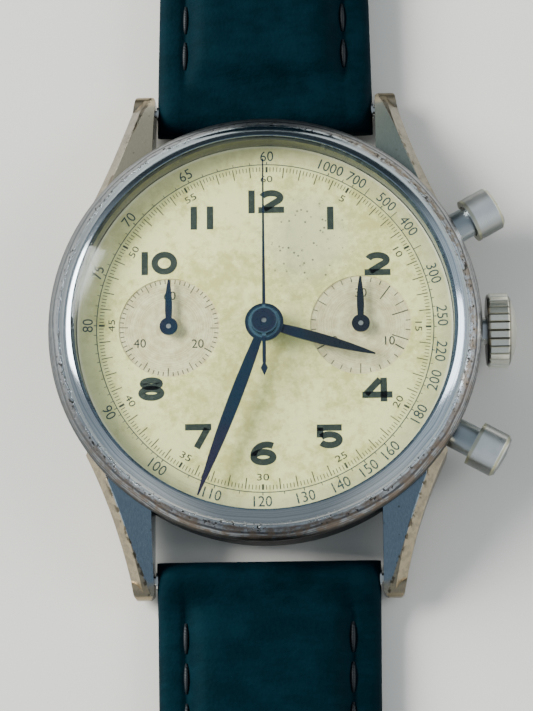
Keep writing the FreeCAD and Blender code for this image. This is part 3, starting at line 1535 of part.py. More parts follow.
end_loop = rod("buckle_end_loop", end_loop_radius, strap_width, -strap_width / 2,
               buckle_bar_y, buckle_bar_level, SIDEWAYS)
end_bore = rod("buckle_end_bore", buckle_bar_radius + 0.1, strap_width + 2, -strap_width / 2 - 1,
               buckle_bar_y, buckle_bar_level, SIDEWAYS)
tongue_slot = block("tongue_slot", tongue_width + 0.6, 8, 8,
                    -(tongue_width / 2) - 0.3, buckle_bar_y - 3.5, 0)
strap_side("strap_buckle_side", 1, strap_level, buckle_side_length, [end_loop], [end_bore, tongue_slot])
punches = []
for index in range(int(punch_count.now)):
    spot = bar_reach + tail_side_length - 25 - punch_pitch * index
    punches.append(small_hole(f"punch_{index}", punch_radius, 8, 0, spot, 0))
strap_side("strap_tail_side", -1, tail_level, tail_side_length, [], punches, strap_end_width * 0.62)

arm_x = strap_end_width / 2 + 0.4 + buckle_wire
wire = []
for name, side in (("left", -1), ("right", 1)):
    wire.append(rod(f"buckle_{name}_arm", buckle_wire, buckle_length + 1.2, arm_x * side,
                    buckle_bar_y - 1.2, buckle_bar_level, Rotation(0, 0, -90)))
    corner = doc.addObject("Part::Sphere", f"buckle_{name}_corner")
    bind(corner, Radius=buckle_wire)
    put(corner, arm_x * side, buckle_bar_y + buckle_length, buckle_bar_level)
    wire.append(corner)
wire.append(rod("buckle_rail", buckle_wire, arm_x * 2, -arm_x, buckle_bar_y + buckle_length,
                buckle_bar_level, SIDEWAYS))
frame_bore = rod("buckle_frame_bore", buckle_bar_radius + seat_gap, arm_x * 4, -(arm_x * 2),
                 buckle_bar_y, buckle_bar_level, SIDEWAYS)
without("buckle_frame", joined("buckle_wire_form", wire), [frame_bore])
rod("buckle_bar", buckle_bar_radius, (arm_x + buckle_wire * 0.6) * 2, -(arm_x + buckle_wire * 0.6),
    buckle_bar_y, buckle_bar_level, SIDEWAYS)
tongue_arm = slab(
    "tongue_arm",
    [
        (-0.5, 0.85),
        (1.2, buckle_wire + 0.1),
        (buckle_length + buckle_wire * 0.8, buckle_wire + 0.1),
        (buckle_length + buckle_wire * 0.8, buckle_wire + 0.6),
        (0.6, buckle_wire + 0.7),
        (-0.7, 1.1),
    ],
    tongue_width,
    "YZ_Plane",
)
put(tongue_arm, -(tongue_width / 2), buckle_bar_y, buckle_bar_level)
tongue_ring = rod("tongue_ring", 1.2, tongue_width,
                  -(tongue_width / 2), buckle_bar_y, buckle_bar_level, SIDEWAYS)
tongue_eye = rod("tongue_eye", buckle_bar_radius + 0.08, tongue_width + 2, -(tongue_width / 2) - 1,
                 buckle_bar_y, buckle_bar_level, SIDEWAYS)
without("buckle_tongue", joined("tongue_form", [tongue_arm, tongue_ring]), [tongue_eye])


def along_strap(edge):
    """Whether an edge of a keeper runs the way of the strap."""
    start, end = (vertex.Point for vertex in edge.Vertexes)
    return abs(start.y - end.y) > keeper_width.now / 2


for label, back in (("fixed_keeper", fixed_keeper_back), ("sliding_keeper", sliding_keeper_back)):
    share = (buckle_side_length - back) / buckle_side_length
    here = strap_width + (strap_end_width - strap_width) * share
    inside = here + keeper_gap * 2
    clear_height = strap_thickness + strap_end_thickness + keeper_gap
    inner_low = strap_level - keeper_gap
    near_edge = buckle_bar_y - back - keeper_width / 2
    outer = block(f"{label}_outside", inside + keeper_wall * 2, keeper_width, clear_height + keeper_wall * 2,
                  -(inside / 2) - keeper_wall, near_edge, inner_low - keeper_wall)
    rounded = edged(f"{label}_rounded", "Part::Fillet", outer, keeper_corner, along_strap)
    hollow = block(f"{label}_hollow", inside, keeper_width + 2, clear_height,
                   -(inside / 2), near_edge - 1, inner_low)
    without(label, rounded, [hollow])

# ---------------------------------------------------------------- check and write
doc.recompute()
for thing in doc.Objects:
    if {"Invalid", "Error"} & set(thing.State):
        raise RuntimeError(f"{thing.Name} failed: {thing.State}")

NODES = """
case_middle case_back bezel crystal crown_tube crown winding_stem setting_lever
pusher_tubes start_pusher start_pusher_spring reset_pusher reset_pusher_spring
spring_bars main_plate barrel_bridge train_bridge balance_cock pallet_cock
bridge_screws jewels mainspring_barrel mainspring barrel_arbor centre_wheel third_wheel fourth_wheel
escape_wheel pallet_fork balance_wheel hairspring ratchet_wheel crown_wheel
winding_pinion cannon_pinion minute_wheel hour_wheel chronograph_wheel minute_recorder_wheel
sliding_gear chronograph_driving_wheel coupling_wheel coupling_lever operating_lever reset_hammer
switching_cam chronograph_bridge dial hour_hand minute_hand chronograph_hand
running_seconds_hand minute_counter_hand strap_buckle_side strap_tail_side buckle_frame
buckle_bar buckle_tongue fixed_keeper sliding_keeper
""".split()
os.makedirs("parts", exist_ok=True)
for node in NODES:
    shape = doc.getObjectsByLabel(node)[0].Shape
    if shape.isNull() or not shape.isValid():
        raise RuntimeError(f"{node} has no valid shape")
    shape.exportStep(f"parts/{node}.step")
print(f"{len(NODES)} sub-parts written")
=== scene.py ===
# %% [markdown]
# A chronograph wristwatch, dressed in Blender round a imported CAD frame.
# The frame gives every rigid piece its shape and its place in metres. This lesson adds what a
# drawing office leaves out: printing, leather, stitches, wear, polish and light.
# %% The frame
import math

import bmesh
import bpy
from mathutils import Matrix, Vector


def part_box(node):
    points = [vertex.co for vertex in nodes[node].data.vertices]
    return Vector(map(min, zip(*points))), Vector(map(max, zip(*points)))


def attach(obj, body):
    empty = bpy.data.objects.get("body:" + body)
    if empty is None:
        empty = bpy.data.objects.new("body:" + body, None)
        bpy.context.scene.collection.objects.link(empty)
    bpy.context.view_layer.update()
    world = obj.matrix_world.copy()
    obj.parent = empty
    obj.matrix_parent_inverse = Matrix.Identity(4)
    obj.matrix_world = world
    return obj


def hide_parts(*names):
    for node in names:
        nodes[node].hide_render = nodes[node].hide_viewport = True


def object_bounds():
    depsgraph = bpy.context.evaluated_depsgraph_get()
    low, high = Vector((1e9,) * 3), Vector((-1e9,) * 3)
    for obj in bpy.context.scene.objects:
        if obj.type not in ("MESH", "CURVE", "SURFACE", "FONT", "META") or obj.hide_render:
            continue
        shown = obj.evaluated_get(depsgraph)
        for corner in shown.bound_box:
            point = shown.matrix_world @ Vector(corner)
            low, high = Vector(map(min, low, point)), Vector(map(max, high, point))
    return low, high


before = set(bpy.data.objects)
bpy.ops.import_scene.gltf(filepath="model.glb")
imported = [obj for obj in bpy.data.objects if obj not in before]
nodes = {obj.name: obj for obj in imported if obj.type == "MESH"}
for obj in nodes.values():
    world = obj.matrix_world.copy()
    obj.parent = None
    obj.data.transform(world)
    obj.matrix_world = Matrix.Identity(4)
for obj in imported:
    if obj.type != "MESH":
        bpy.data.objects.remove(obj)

cad_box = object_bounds()
MM = 0.001
print("frame box", cad_box)


def middle(node):
    """The centre of a CAD piece's box."""
    low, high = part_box(node)
    return (Vector(low) + Vector(high)) / 2


def reach(node, axis, top=True):
    """How far a CAD piece reaches along one axis."""
    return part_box(node)[1 if top else 0][axis]


dial_top = reach("dial", 2)
left_register = Vector((middle("fourth_wheel").x, 0, 0))
right_register = Vector((middle("minute_recorder_wheel").x, 0, 0))
register_radius = 4.2 * MM
print("dial top", round(dial_top / MM, 2), "mm; registers at", left_register.x, right_register.x)

# %% [markdown]
# The stage is a pale floor under the case back, wide enough that its edge never shows. A big
# plane does it. It belongs to the studio and not to the watch.
# %% Floor
def plain_material(name, colour, roughness):
    """A material of one colour, for things that aren't the watch."""
    made = bpy.data.materials.new(name)
    made.use_nodes = True
    shader = made.node_tree.nodes["Principled BSDF"]
    shader.inputs["Base Color"].default_value = (*colour, 1)
    shader.inputs["Roughness"].default_value = roughness
    return made


def mesh_object(name, vertices, faces, material=None, smooth=False):
    """A mesh object in the scene from lists of corners and faces."""
    mesh = bpy.data.meshes.new(name)
    mesh.from_pydata([tuple(v) for v in vertices], [], faces)
    mesh.update()
    made = bpy.data.objects.new(name, mesh)
    bpy.context.scene.collection.objects.link(made)
    if material:
        mesh.materials.append(material)
    if smooth:
        mesh.shade_smooth()
    return made


FLOOR_HALF = 3.0
FLOOR_GAP = 0.02 * MM
floor_corners = [(FLOOR_HALF * x, FLOOR_HALF * y) for x, y in ((-1, -1), (1, -1), (1, 1), (-1, 1))]
floor_level = cad_box[0][2] - FLOOR_GAP
floor = mesh_object("floor", [(x, y, floor_level) for x, y in floor_corners], [(0, 1, 2, 3)],
                    plain_material("floor_pale", (0.60, 0.59, 0.55), 0.85))
print("floor at", round(floor_level / MM, 2), "mm")

# %% [markdown]
# The camera stands almost overhead, a little towards six o'clock and to the right, at arm's
# length. Its place is worked out from two angles and a distance, so that it can be moved by
# changing one number. A long lens keeps the round dial nearly round.
# %% Camera
AZIMUTH, ELEVATION, DISTANCE = math.radians(8.2), math.radians(76.5), 210 * MM
LOOK_AT = Vector((0.12, -2.51, 7.2)) * MM
FOCAL_IN_HEIGHTS = 2542 / 711
ROLL = math.radians(-0.5)
FILM = 24

level_part = math.cos(ELEVATION)
back = Vector((math.sin(AZIMUTH) * level_part, -math.cos(AZIMUTH) * level_part, math.sin(ELEVATION)))
camera_data = bpy.data.cameras.new("camera")
camera_data.sensor_fit = "VERTICAL"
camera_data.sensor_height = FILM
camera_data.lens = FOCAL_IN_HEIGHTS * FILM
camera_data.clip_start = 0.01
camera_data.clip_end = 20
camera = bpy.data.objects.new("camera", camera_data)
bpy.context.scene.collection.objects.link(camera)
camera.location = LOOK_AT + back * DISTANCE
right = Vector((0, 1, 0)).cross(back).normalized()
upward = back.cross(right)
facing = Matrix((right, upward, back)).transposed()
camera.rotation_mode = "QUATERNION"
camera.rotation_quaternion = (facing @ Matrix.Rotation(ROLL, 3, "Z")).to_quaternion()
bpy.context.scene.camera = camera
print("camera at", [round(v / MM, 1) for v in camera.location])

# %% [markdown]
# Polished metal shows its surroundings more than itself, so the lights are large soft panels:
# a broad strong one from the upper left, and a low weak one from the right.
# %% Lights
def panel(name, spot, size, power, colour):
    """A square area light that faces the watch."""
    data = bpy.data.lights.new(name, "AREA")
    data.shape = "RECTANGLE"
    data.size, data.size_y = size
    data.energy = power
    data.color = colour
    made = bpy.data.objects.new(name, data)
    bpy.context.scene.collection.objects.link(made)
    made.location = spot
    made.rotation_mode = "QUATERNION"
    made.rotation_quaternion = Vector(spot).to_track_quat("Z", "Y")
    return made


panel("key_panel", (-1.0, 0.35, 0.62), (0.7, 0.6), 50.0, (1.0, 0.99, 0.95))
panel("right_panel", (0.9, 0.1, 0.5), (0.5, 0.6), 7.0, (0.96, 0.98, 1.0))
print("lights", len(bpy.data.lights))

# %% [markdown]
# A material's colour is often a sum: cream, darker near the rim, with spots. Written as nodes
# such a sum is a page of boxes. This small class holds one socket and lets the sum be written
# as Python, adding a node for each operation. Colours and vectors keep their own kinds of node.
# %% Sums of sockets
class Wire:
    """One socket of a material. Sums written with it become nodes."""

    def __init__(self, tree, socket=None):
        self.tree = tree
        self.socket = socket

    def node(self, kind, settings=None, sockets=None, output=0):
        """Adds a node: its settings first, then values or links for its sockets."""
        made = self.tree.nodes.new("ShaderNode" + kind)
        for key, value in (settings or {}).items():
            if key == "stops":
                while len(made.color_ramp.elements) < len(value):
                    made.color_ramp.elements.new(0.5)
                for element, (position, colour) in zip(made.color_ramp.elements, value):
                    element.position = position
                    element.color = (*colour, 1)
            else:
                setattr(made, key, value)
        for key, value in (sockets or {}).items():
            if isinstance(value, Wire):
                self.tree.links.new(value.socket, made.inputs[key])
            else:
                made.inputs[key].default_value = value
        return Wire(self.tree, made.outputs[output])

    def sum(self, operation, first, second):
        """One operation on two values, by the node that suits their kind."""
        kinds = {side.socket.type for side in (first, second) if isinstance(side, Wire)}
        if "RGBA" in kinds:
            sides = [s if isinstance(s, Wire) else (s, s, s, 1) for s in (first, second)]
            settings = {"data_type": "RGBA", "blend_type": operation}
            return self.node("Mix", settings, {0: 1.0, 6: sides[0], 7: sides[1]}, 2)
        if "VECTOR" in kinds:
            sides = [(s, s, s) if isinstance(s, (int, float)) else s for s in (first, second)]
            return self.node("VectorMath", {"operation": operation}, {0: sides[0], 1: sides[1]})
        return self.node("Math", {"operation": operation}, {0: first, 1: second})

    def __add__(self, other):
        return self.sum("ADD", self, other)

    def __radd__(self, other):
        return self.sum("ADD", other, self)

    def __sub__(self, other):
        return self.sum("SUBTRACT", self, other)

    def __rsub__(self, other):
        return self.sum("SUBTRACT", other, self)

    def __mul__(self, other):
        return self.sum("MULTIPLY", self, other)

    def __rmul__(self, other):
        return self.sum("MULTIPLY", other, self)


print("socket class ready")

# %% [markdown]
# A few questions come up in every finish: where on the piece is this point, how far is it from
# an axis, is a value past a limit, does a spot of dirt lie here, what colour lies between two
# others, and which way does a small bump turn the surface. Each gets a short function.
# %% Words for finishes
def place(wire):
    """The point on the piece in millimetres, in the watch's own frame."""
    return wire.node("TexCoord", output="Object") * (1 / MM)


def part_of(vector, name):
    """One coordinate of a vector: X, Y or Z."""
    return vector.node("SeparateXYZ", sockets={0: vector}, output=name)


def span(vector, centre=(0, 0), squeeze=(1, 1, 0)):
    """The distance of a point from an upright axis."""
    shifted = (vector - (centre[0], centre[1], 0)) * squeeze
    return shifted.node("VectorMath", {"operation": "LENGTH"}, {0: shifted}, "Value")


def ease(value, low, high):
    """0 below one value, 1 above the other, and smooth between them."""
    return value.node("MapRange", {"interpolation_type": "SMOOTHSTEP"}, {0: value, 1: low, 2: high})


def cloud(vector, scale, detail=3, roughness=0.6):
    """Even noise from 0 to 1. Scale is in lumps a millimetre."""
    sockets = {"Vector": vector, "Scale": scale, "Detail": detail, "Roughness": roughness}
    return vector.node("TexNoise", None, sockets)


def spots(vector, scale, size):
    """Small round spots, one to a cell, 1 in the middle of each."""
    away = vector.node("TexVoronoi", None, {"Vector": vector, "Scale": scale}, "Distance")
    return 1 - ease(away, size * 0.5, size)


def mix(first, second, factor):
    """The colour between two, each a wire or a plain colour."""
    sides = [side if isinstance(side, Wire) else (*side, 1) for side in (first, second)]
    return factor.node("Mix", {"data_type": "RGBA"}, {0: factor, 6: sides[0], 7: sides[1]}, 2)


def bump(height, strength, distance=0.02 * MM, after=None):
    """The normal of a surface with small relief. A second bump can follow a first."""
    sockets = {"Height": height, "Strength": strength, "Distance": distance}
    if after:
        sockets["Normal"] = after
    return height.node("Bump", None, sockets)


def surface(name, constants, recipe):
    """A material: constants sit on the shader's own sockets, the recipe gives what varies."""
    made = bpy.data.materials.new(name)
    made.use_nodes = True
    shader = made.node_tree.nodes["Principled BSDF"]
    for key, value in constants.items():
        shader.inputs[key].default_value = value
    for key, wire in recipe(Wire(made.node_tree)).items():
        made.node_tree.links.new(wire.socket, shader.inputs[key])
    return made


def dress(material, *names):
    """Puts a material on CAD pieces."""
    for name in names:
        nodes[name].data.materials.clear()
        nodes[name].data.materials.append(material)


print("finish words ready")

# %% [markdown]
# The room round the watch is drawn as a sky: bright windows to the left and right, dimmer above,
# and darkest far behind twelve o'clock. Diffuse surfaces don't notice, but the round bezel shows
# the windows as bright flanks and the rest as dark bands, which is what makes it look polished.
# %% Room
world = bpy.data.worlds.new("room")
bpy.context.scene.world = world
world.use_nodes = True
room = Wire(world.node_tree)
heading = room.node("TexCoord", output="Generated")
sideways, ahead = part_of(heading, "X"), part_of(heading, "Y")
windows = ease(sideways.node("Math", {"operation": "ABSOLUTE"}, {0: sideways}), 0.25, 0.75)
sky = mix((0.34, 0.40, 0.46), (0.90, 0.97, 1.02), windows)
sky = mix(sky, (0.06, 0.08, 0.09), ease(ahead, 0.55, 0.85))
world.node_tree.links.new(sky.socket, world.node_tree.nodes["Background"].inputs["Color"])
world.node_tree.nodes["Background"].inputs["Strength"].default_value = 1.0
print("room", len(world.node_tree.nodes), "nodes")

# %% [markdown]
# The case is plated brass that has been worn for decades. The bezel's inner slope is still
# polished and cool; its colour carries a painted highlight along the inner lip and painted light
# towards six o'clock. Its outer slope is duller, browner towards six o'clock, and chipped where the
# two meet, and painted shade darkens its skirt, most towards six o'clock. Painted shade also darkens
# the left of the whole bezel. One finish covers both, told apart by the distance from the watch's axis.
# %% Bezel steel
def bezel_recipe(wire):
    spot = place(wire)
    away, along = span(spot), part_of(spot, "Y")
    fine, coarse = cloud(spot, 1.4, 4), cloud(spot, 0.5, 2)
    outer = ease(away + fine * 0.3, 17.15, 17.35)
    boundary = ease(away + fine * 0.5, 16.95, 17.3) * (1 - ease(away + fine * 0.5, 17.5, 17.9))
    pits = ease(cloud(spot, 3.2, 3), 0.55, 0.6) * boundary * ease(coarse, 0.38, 0.55)
    lines = ease(cloud(away * 2.6 + cloud(spot, 0.12, 2) * 1.5, 2.0, 3), 0.36, 0.62)
    scratches = cloud(spot * (1, 6, 1), 3, 5)
    brown = ease(coarse * 9 - along * 0.6, 5, 12) * ease(cloud(spot, 1.1, 4), 0.40, 0.58)
    rubbed = ease(lines * 0.5 + cloud(spot, 2.0, 4) * 0.6, 0.38, 0.66)
    shaded_skirt = ease(away + fine * 0.2, 17.85, 18.05)
    worn = mix(mix((0.07, 0.075, 0.085), (0.28, 0.29, 0.30), rubbed), (0.15, 0.11, 0.08), brown * 0.8)
    # Painted highlight: a pale band at the inner lip, beside the real polish lines and scratches.
    lip_highlight_and_lines = ease(away, 16.95, 17.1) * 0.4 + lines * 0.28 + scratches * 0.2
    polished_and_lit = mix((0.16, 0.21, 0.25), (0.74, 0.79, 0.83), lip_highlight_and_lines)
    # Painted shade: the outer skirt is darkened, more towards six o'clock.
    worn = mix(worn, (0.035, 0.034, 0.032), shaded_skirt * (0.45 + ease(along * -1, 4, 14) * 0.5))
    # Painted light: the inner slope is made paler and warmer towards six o'clock.
    polished_and_lit = mix(polished_and_lit, (0.62, 0.57, 0.48), ease(along * -1, 9, 16) * 0.35)
    across = part_of(spot, "X")
    # Painted shade: the whole bezel is darkened on its left, against the key light's reflection.
    colour = mix(mix(polished_and_lit, worn, outer), (0.08, 0.09, 0.10), ease(across * -1, 9, 16) * 0.6)
    tarnish = ease(across + along * 0.4, 10, 15) * boundary * ease(cloud(spot, 1.6, 4), 0.42, 0.54)
    colour = mix(mix(colour, (0.19, 0.15, 0.11), tarnish * 0.8), (0.03, 0.03, 0.03), pits)
    roughness = 0.08 + outer * 0.18 + scratches * 0.08
    relief = bump(pits, 0.7, -0.04 * MM, bump(scratches, 0.1))
    return {"Base Color": colour, "Roughness": roughness, "Normal": relief}


bezel_steel = surface("bezel_steel", {"Metallic": 1.0}, bezel_recipe)
dress(bezel_steel, "bezel")
print(bezel_steel.name)

# %% [markdown]
# The middle of the case and its lugs share that metal. The flat tops of the upper lugs are painted a warm
# dull grey and those of the lower lugs slate blue, as painted reflections of the different parts of the room
# they face.
# Outside them runs a pale beige bevel with chips and small nicks, and the brass shows through at
# the tips. The flank under the bezel carries painted shade: it is coloured near black and never catches the
# light.
# %% Case steel
def case_recipe(wire):
    spot = place(wire)
    across, along, level = part_of(spot, "X"), part_of(spot, "Y"), part_of(spot, "Z")
    away_x = across.node("Math", {"operation": "ABSOLUTE"}, {0: across})
    away_y = along.node("Math", {"operation": "ABSOLUTE"}, {0: along})
    away, fine = span(spot), cloud(spot, 1.5, 3)
    # Painted shade: this mask turns the flank under the bezel near black.
    shaded_flank = (1 - ease(away, 17.68, 17.8)) * (1 - ease(level, 6.5, 6.8))
    outward = away_x + away_y * 0.36
    edge = ease(outward, 17.58, 17.66)
    tip = ease(away_y + fine * 0.8, 20.8, 21.6)
    chips = ease(fine, 0.52, 0.57) * ease(outward, 17.45, 17.58) * (1 - ease(outward, 17.72, 17.9))
    scratches = cloud(spot * (5, 1, 1), 3, 5)
    # Painted reflection: the lug tops get warm, dark or slate colours by where they lie, standing for what
    # they reflect.
    upper_left = ease(along - across, 4, 22) * 0.75
    upper = ease(along, 4, 12)
    painted_cool_reflection = mix((0.12, 0.17, 0.22), (0.30, 0.37, 0.42), scratches)
    painted_warm_reflection = mix((0.15, 0.14, 0.10), (0.26, 0.24, 0.175), scratches)
    painted_dark_reflection = mix((0.06, 0.078, 0.075), (0.12, 0.148, 0.135), scratches)
    plating_and_reflection = mix(mix(painted_cool_reflection, painted_dark_reflection, upper), painted_warm_reflection, upper_left)
    bevel = mix((0.18, 0.16, 0.125), (0.36, 0.325, 0.26), scratches)
    brass = mix((0.26, 0.20, 0.12), (0.46, 0.39, 0.27), scratches)
    bevel = mix(bevel, brass, ease(cloud(spot, 0.5, 2) * 8 - along * 0.2, 1.5, 6) * 0.6)
    bevel = mix(bevel, (0.11, 0.105, 0.09), ease(fine, 0.44, 0.60) * 0.35)
    nicks = spots(spot, 1.4, 0.16) * ease(cloud(spot, 0.8, 2), 0.42, 0.52)
    plating_and_reflection = mix(plating_and_reflection, (0.06, 0.06, 0.05), nicks * 0.7)
    colour = mix(mix(plating_and_reflection, bevel, edge), brass, tip * 0.8)
    # The flank gets its painted shade here.
    colour = mix(mix(colour, (0.10, 0.085, 0.06), chips), (0.030, 0.034, 0.036), shaded_flank)
    roughness = 0.18 + edge * 0.08 + scratches * 0.12 + shaded_flank * 0.25
    metallic = 1 - upper * (1 - edge) * 0.55
    relief = bump(chips, 0.5, -0.03 * MM, bump(scratches, 0.15))
    return {"Base Color": colour, "Roughness": roughness, "Metallic": metallic, "Normal": relief}


case_steel = surface("case_steel", {}, case_recipe)
dress(case_steel, "case_middle")
print(case_steel.name)

# %% [markdown]
# The remaining bright parts differ by little: the crown is worn nickel, nearly black in its grooves;
# the pushers carry a painted highlight above and painted shade below, with an olive collar and rim and a grey
# neck; spring bars and buckle are plain steel with fine hairlines; the case back is turned, which shows when
# it is picked up.
# %% Small bright parts
def hairline_recipe(light, dark, grain):
    """A recipe for polished metal with fine lines, from two colours and a stretch of grain."""
    def recipe(wire):
        spot = place(wire)
        lines = cloud(spot * grain, 3, 4)
        smudge = cloud(spot, 0.7, 2)
        colour = mix(dark, light, lines * 0.5 + smudge * 0.5)
        return {"Base Color": colour, "Roughness": 0.1 + smudge * 0.2, "Normal": bump(lines, 0.12)}
    return recipe


def turned_recipe(wire):
    spot = place(wire)
    rings = cloud(spot * (0, 0, 1) + span(spot) * 4, 1.5, 2)
    smudge = cloud(spot, 0.4, 3)
    colour = mix((0.42, 0.42, 0.41), (0.62, 0.62, 0.6), rings * 0.6 + smudge * 0.4)
    return {"Base Color": colour, "Roughness": 0.2 + smudge * 0.2, "Normal": bump(rings, 0.15)}


def crown_recipe(wire):
    spot = place(wire)
    across = part_of(spot, "X")
    stem_level = middle("crown").z / MM
    reach_out = span(spot - (0, 0, stem_level), squeeze=(0, 1, 1))
    grime = cloud(spot, 2.2, 3)
    face = ease(across, 20.3, 20.5)
    # The grooves are coloured nearly black.
    groove = (1 - ease(reach_out, 2.93, 3.12)) * (1 - face)
    ridge = mix((0.72, 0.70, 0.58), (0.98, 0.96, 0.84), grime)
    colour = mix(mix(ridge, (0.66, 0.64, 0.55), face * 0.7), (0.05, 0.045, 0.035), groove * 0.9)
    return {"Base Color": colour, "Roughness": 0.36 - grime * 0.12, "Normal": bump(grime, 0.15)}


def pusher_recipe(wire):
    spot = place(wire)
    lines, smudge = cloud(spot * (1, 6, 1), 3, 4), cloud(spot, 0.7, 2)
    away = span(spot)
    end = ease(away, 22.0, 22.08) * (1 - ease(away, 22.2, 22.3))
    neck = 1 - ease(away, 19.7, 19.75)
    collar = (1 - ease(away, 19.95, 20.1)) * (1 - neck)
    # Painted highlight and shade: the pusher is coloured pale on top and dark lower down.
    top = ease(part_of(spot, "Z") - middle("start_pusher").z / MM, 0.9, 1.9)
    colour = mix((0.20, 0.21, 0.20), (0.88, 0.89, 0.87), top * 0.8 + lines * 0.1 + smudge * 0.1)
    colour = mix(mix(colour, (0.36, 0.35, 0.22), end * 0.8 + collar * 0.7), (0.36, 0.40, 0.42), neck * 0.8)
    return {"Base Color": colour, "Roughness": 0.22 + smudge * 0.15, "Normal": bump(lines, 0.04)}


METAL = {"Metallic": 1.0}
plain_steel = surface("plain_steel", METAL,
                      hairline_recipe((0.68, 0.68, 0.67), (0.48, 0.47, 0.45), (1, 6, 1)))
back_steel = surface("back_steel", METAL, turned_recipe)
crown_metal = surface("crown_metal", METAL, crown_recipe)
pusher_steel = surface("pusher_steel", METAL, pusher_recipe)
dress(pusher_steel, "start_pusher", "reset_pusher", "pusher_tubes")
dress(plain_steel, "crown_tube", "spring_bars",
      "buckle_frame", "buckle_bar", "buckle_tongue", "setting_lever", "winding_stem",
      "start_pusher_spring", "reset_pusher_spring")
dress(back_steel, "case_back")
dress(crown_metal, "crown")
print(plain_steel.name, back_steel.name, crown_metal.name)

# %% [markdown]
# Inside the case is a hand-wound movement that no view shows, but it is dressed all the same:
# nickelled plates with a fine frosted grain, gilt wheels, steel levers and red jewels.
# %% Movement metals
def frosted_recipe(light, dark):
    """A recipe for grained metal, from two colours. Arbor ends above the dial are steel."""
    def recipe(wire):
        spot = place(wire)
        grain = cloud(spot, 9, 2)
        above = ease(part_of(spot, "Z"), dial_top / MM, dial_top / MM + 0.1)
        colour = mix(mix(dark, light, grain), (0.50, 0.51, 0.50), above)
        return {"Base Color": colour, "Roughness": 0.3 + grain * 0.15, "Normal": bump(grain, 0.2)}
    return recipe


nickel = surface("nickelled_plate", METAL, frosted_recipe((0.68, 0.65, 0.58), (0.55, 0.52, 0.46)))
gilt = surface("gilt_brass", METAL, frosted_recipe((0.80, 0.62, 0.30), (0.62, 0.46, 0.20)))
lever_steel = surface("lever_steel", METAL, frosted_recipe((0.60, 0.61, 0.63), (0.46, 0.47, 0.50)))
ruby = surface("ruby", {"Roughness": 0.08, "Coat Weight": 0.5}, lambda wire: {
    "Base Color": mix((0.35, 0.01, 0.04), (0.6, 0.04, 0.1), cloud(place(wire), 2))})
dress(nickel, "main_plate", "barrel_bridge", "train_bridge", "balance_cock", "pallet_cock",
      "chronograph_bridge")
dress(gilt, "mainspring_barrel", "centre_wheel", "third_wheel", "fourth_wheel", "minute_wheel",
      "hour_wheel", "cannon_pinion", "balance_wheel", "chronograph_wheel", "minute_recorder_wheel",
      "sliding_gear", "chronograph_driving_wheel", "coupling_wheel")
dress(lever_steel, "mainspring", "barrel_arbor", "escape_wheel", "pallet_fork", "ratchet_wheel",
      "crown_wheel", "winding_pinion", "coupling_lever", "operating_lever", "reset_hammer",
      "switching_cam")
dress(ruby, "jewels")
print("movement dressed")

# %% [markdown]
# The hands and the screws are steel blued by heat. At a grazing light the blue turns bright,
# and where it faces the sky it is nearly black, so the base colour is dark and the gloss high.
# A slow cloud moves it between navy and a hint of violet, as the heat left it. A painted highlight
# lightens the ring round the centre, painted shade darkens the hour hand's side, and long tips lean to
# purple.
# %% Blued steel
def blued_recipe(wire):
    spot = place(wire)
    heat = cloud(spot, 0.35, 2)
    colour = mix((0.012, 0.045, 0.090), (0.030, 0.035, 0.080), ease(heat, 0.4, 0.65))
    away = span(spot)
    # Painted highlight: a paler ring round the centre.
    hub_ring_highlight = ease(away, 0.95, 1.1) * (1 - ease(away, 1.25, 1.4))
    colour = mix(colour, (0.14, 0.27, 0.36), hub_ring_highlight * 0.8)
    # Painted shade: the blue is darkened towards the right, on the hour hand's side.
    colour = mix(colour, (0.018, 0.022, 0.030), ease(part_of(spot, "X"), 2.0, 4.5) * 0.8)
    colour = mix(colour, (0.055, 0.030, 0.085), ease(part_of(spot, "Y") * -1, 8, 14) * 0.5)
    return {"Base Color": colour, "Roughness": 0.16 + cloud(spot, 3, 2) * 0.14}


blued_constants = {"Metallic": 0.75, "Specular IOR Level": 0.6, "Coat Weight": 0.4}
blued_steel = surface("blued_steel", blued_constants, blued_recipe)
dress(blued_steel, "hour_hand", "minute_hand", "chronograph_hand", "running_seconds_hand",
      "minute_counter_hand", "bridge_screws", "hairspring")
print(blued_steel.name)

# %% [markdown]
# The dial was painted cream and has aged unevenly: greener in the middle, browner towards the
# rim, with a pale line outermost that is also painted brighter to lift the bezel's shadow, fine specks and
# one old stain near one o'clock. The two registers were silvered and turned, so they are slightly shiny and
# ringed. Each of these is a mask and a colour.
# %% Dial paint
def register_mask(spot, centre):
    """1 inside one of the two small dials."""
    rim, soft = register_radius / MM, 0.04
    return 1 - ease(span(spot, (centre.x / MM, centre.y / MM)), rim - soft, rim + soft)


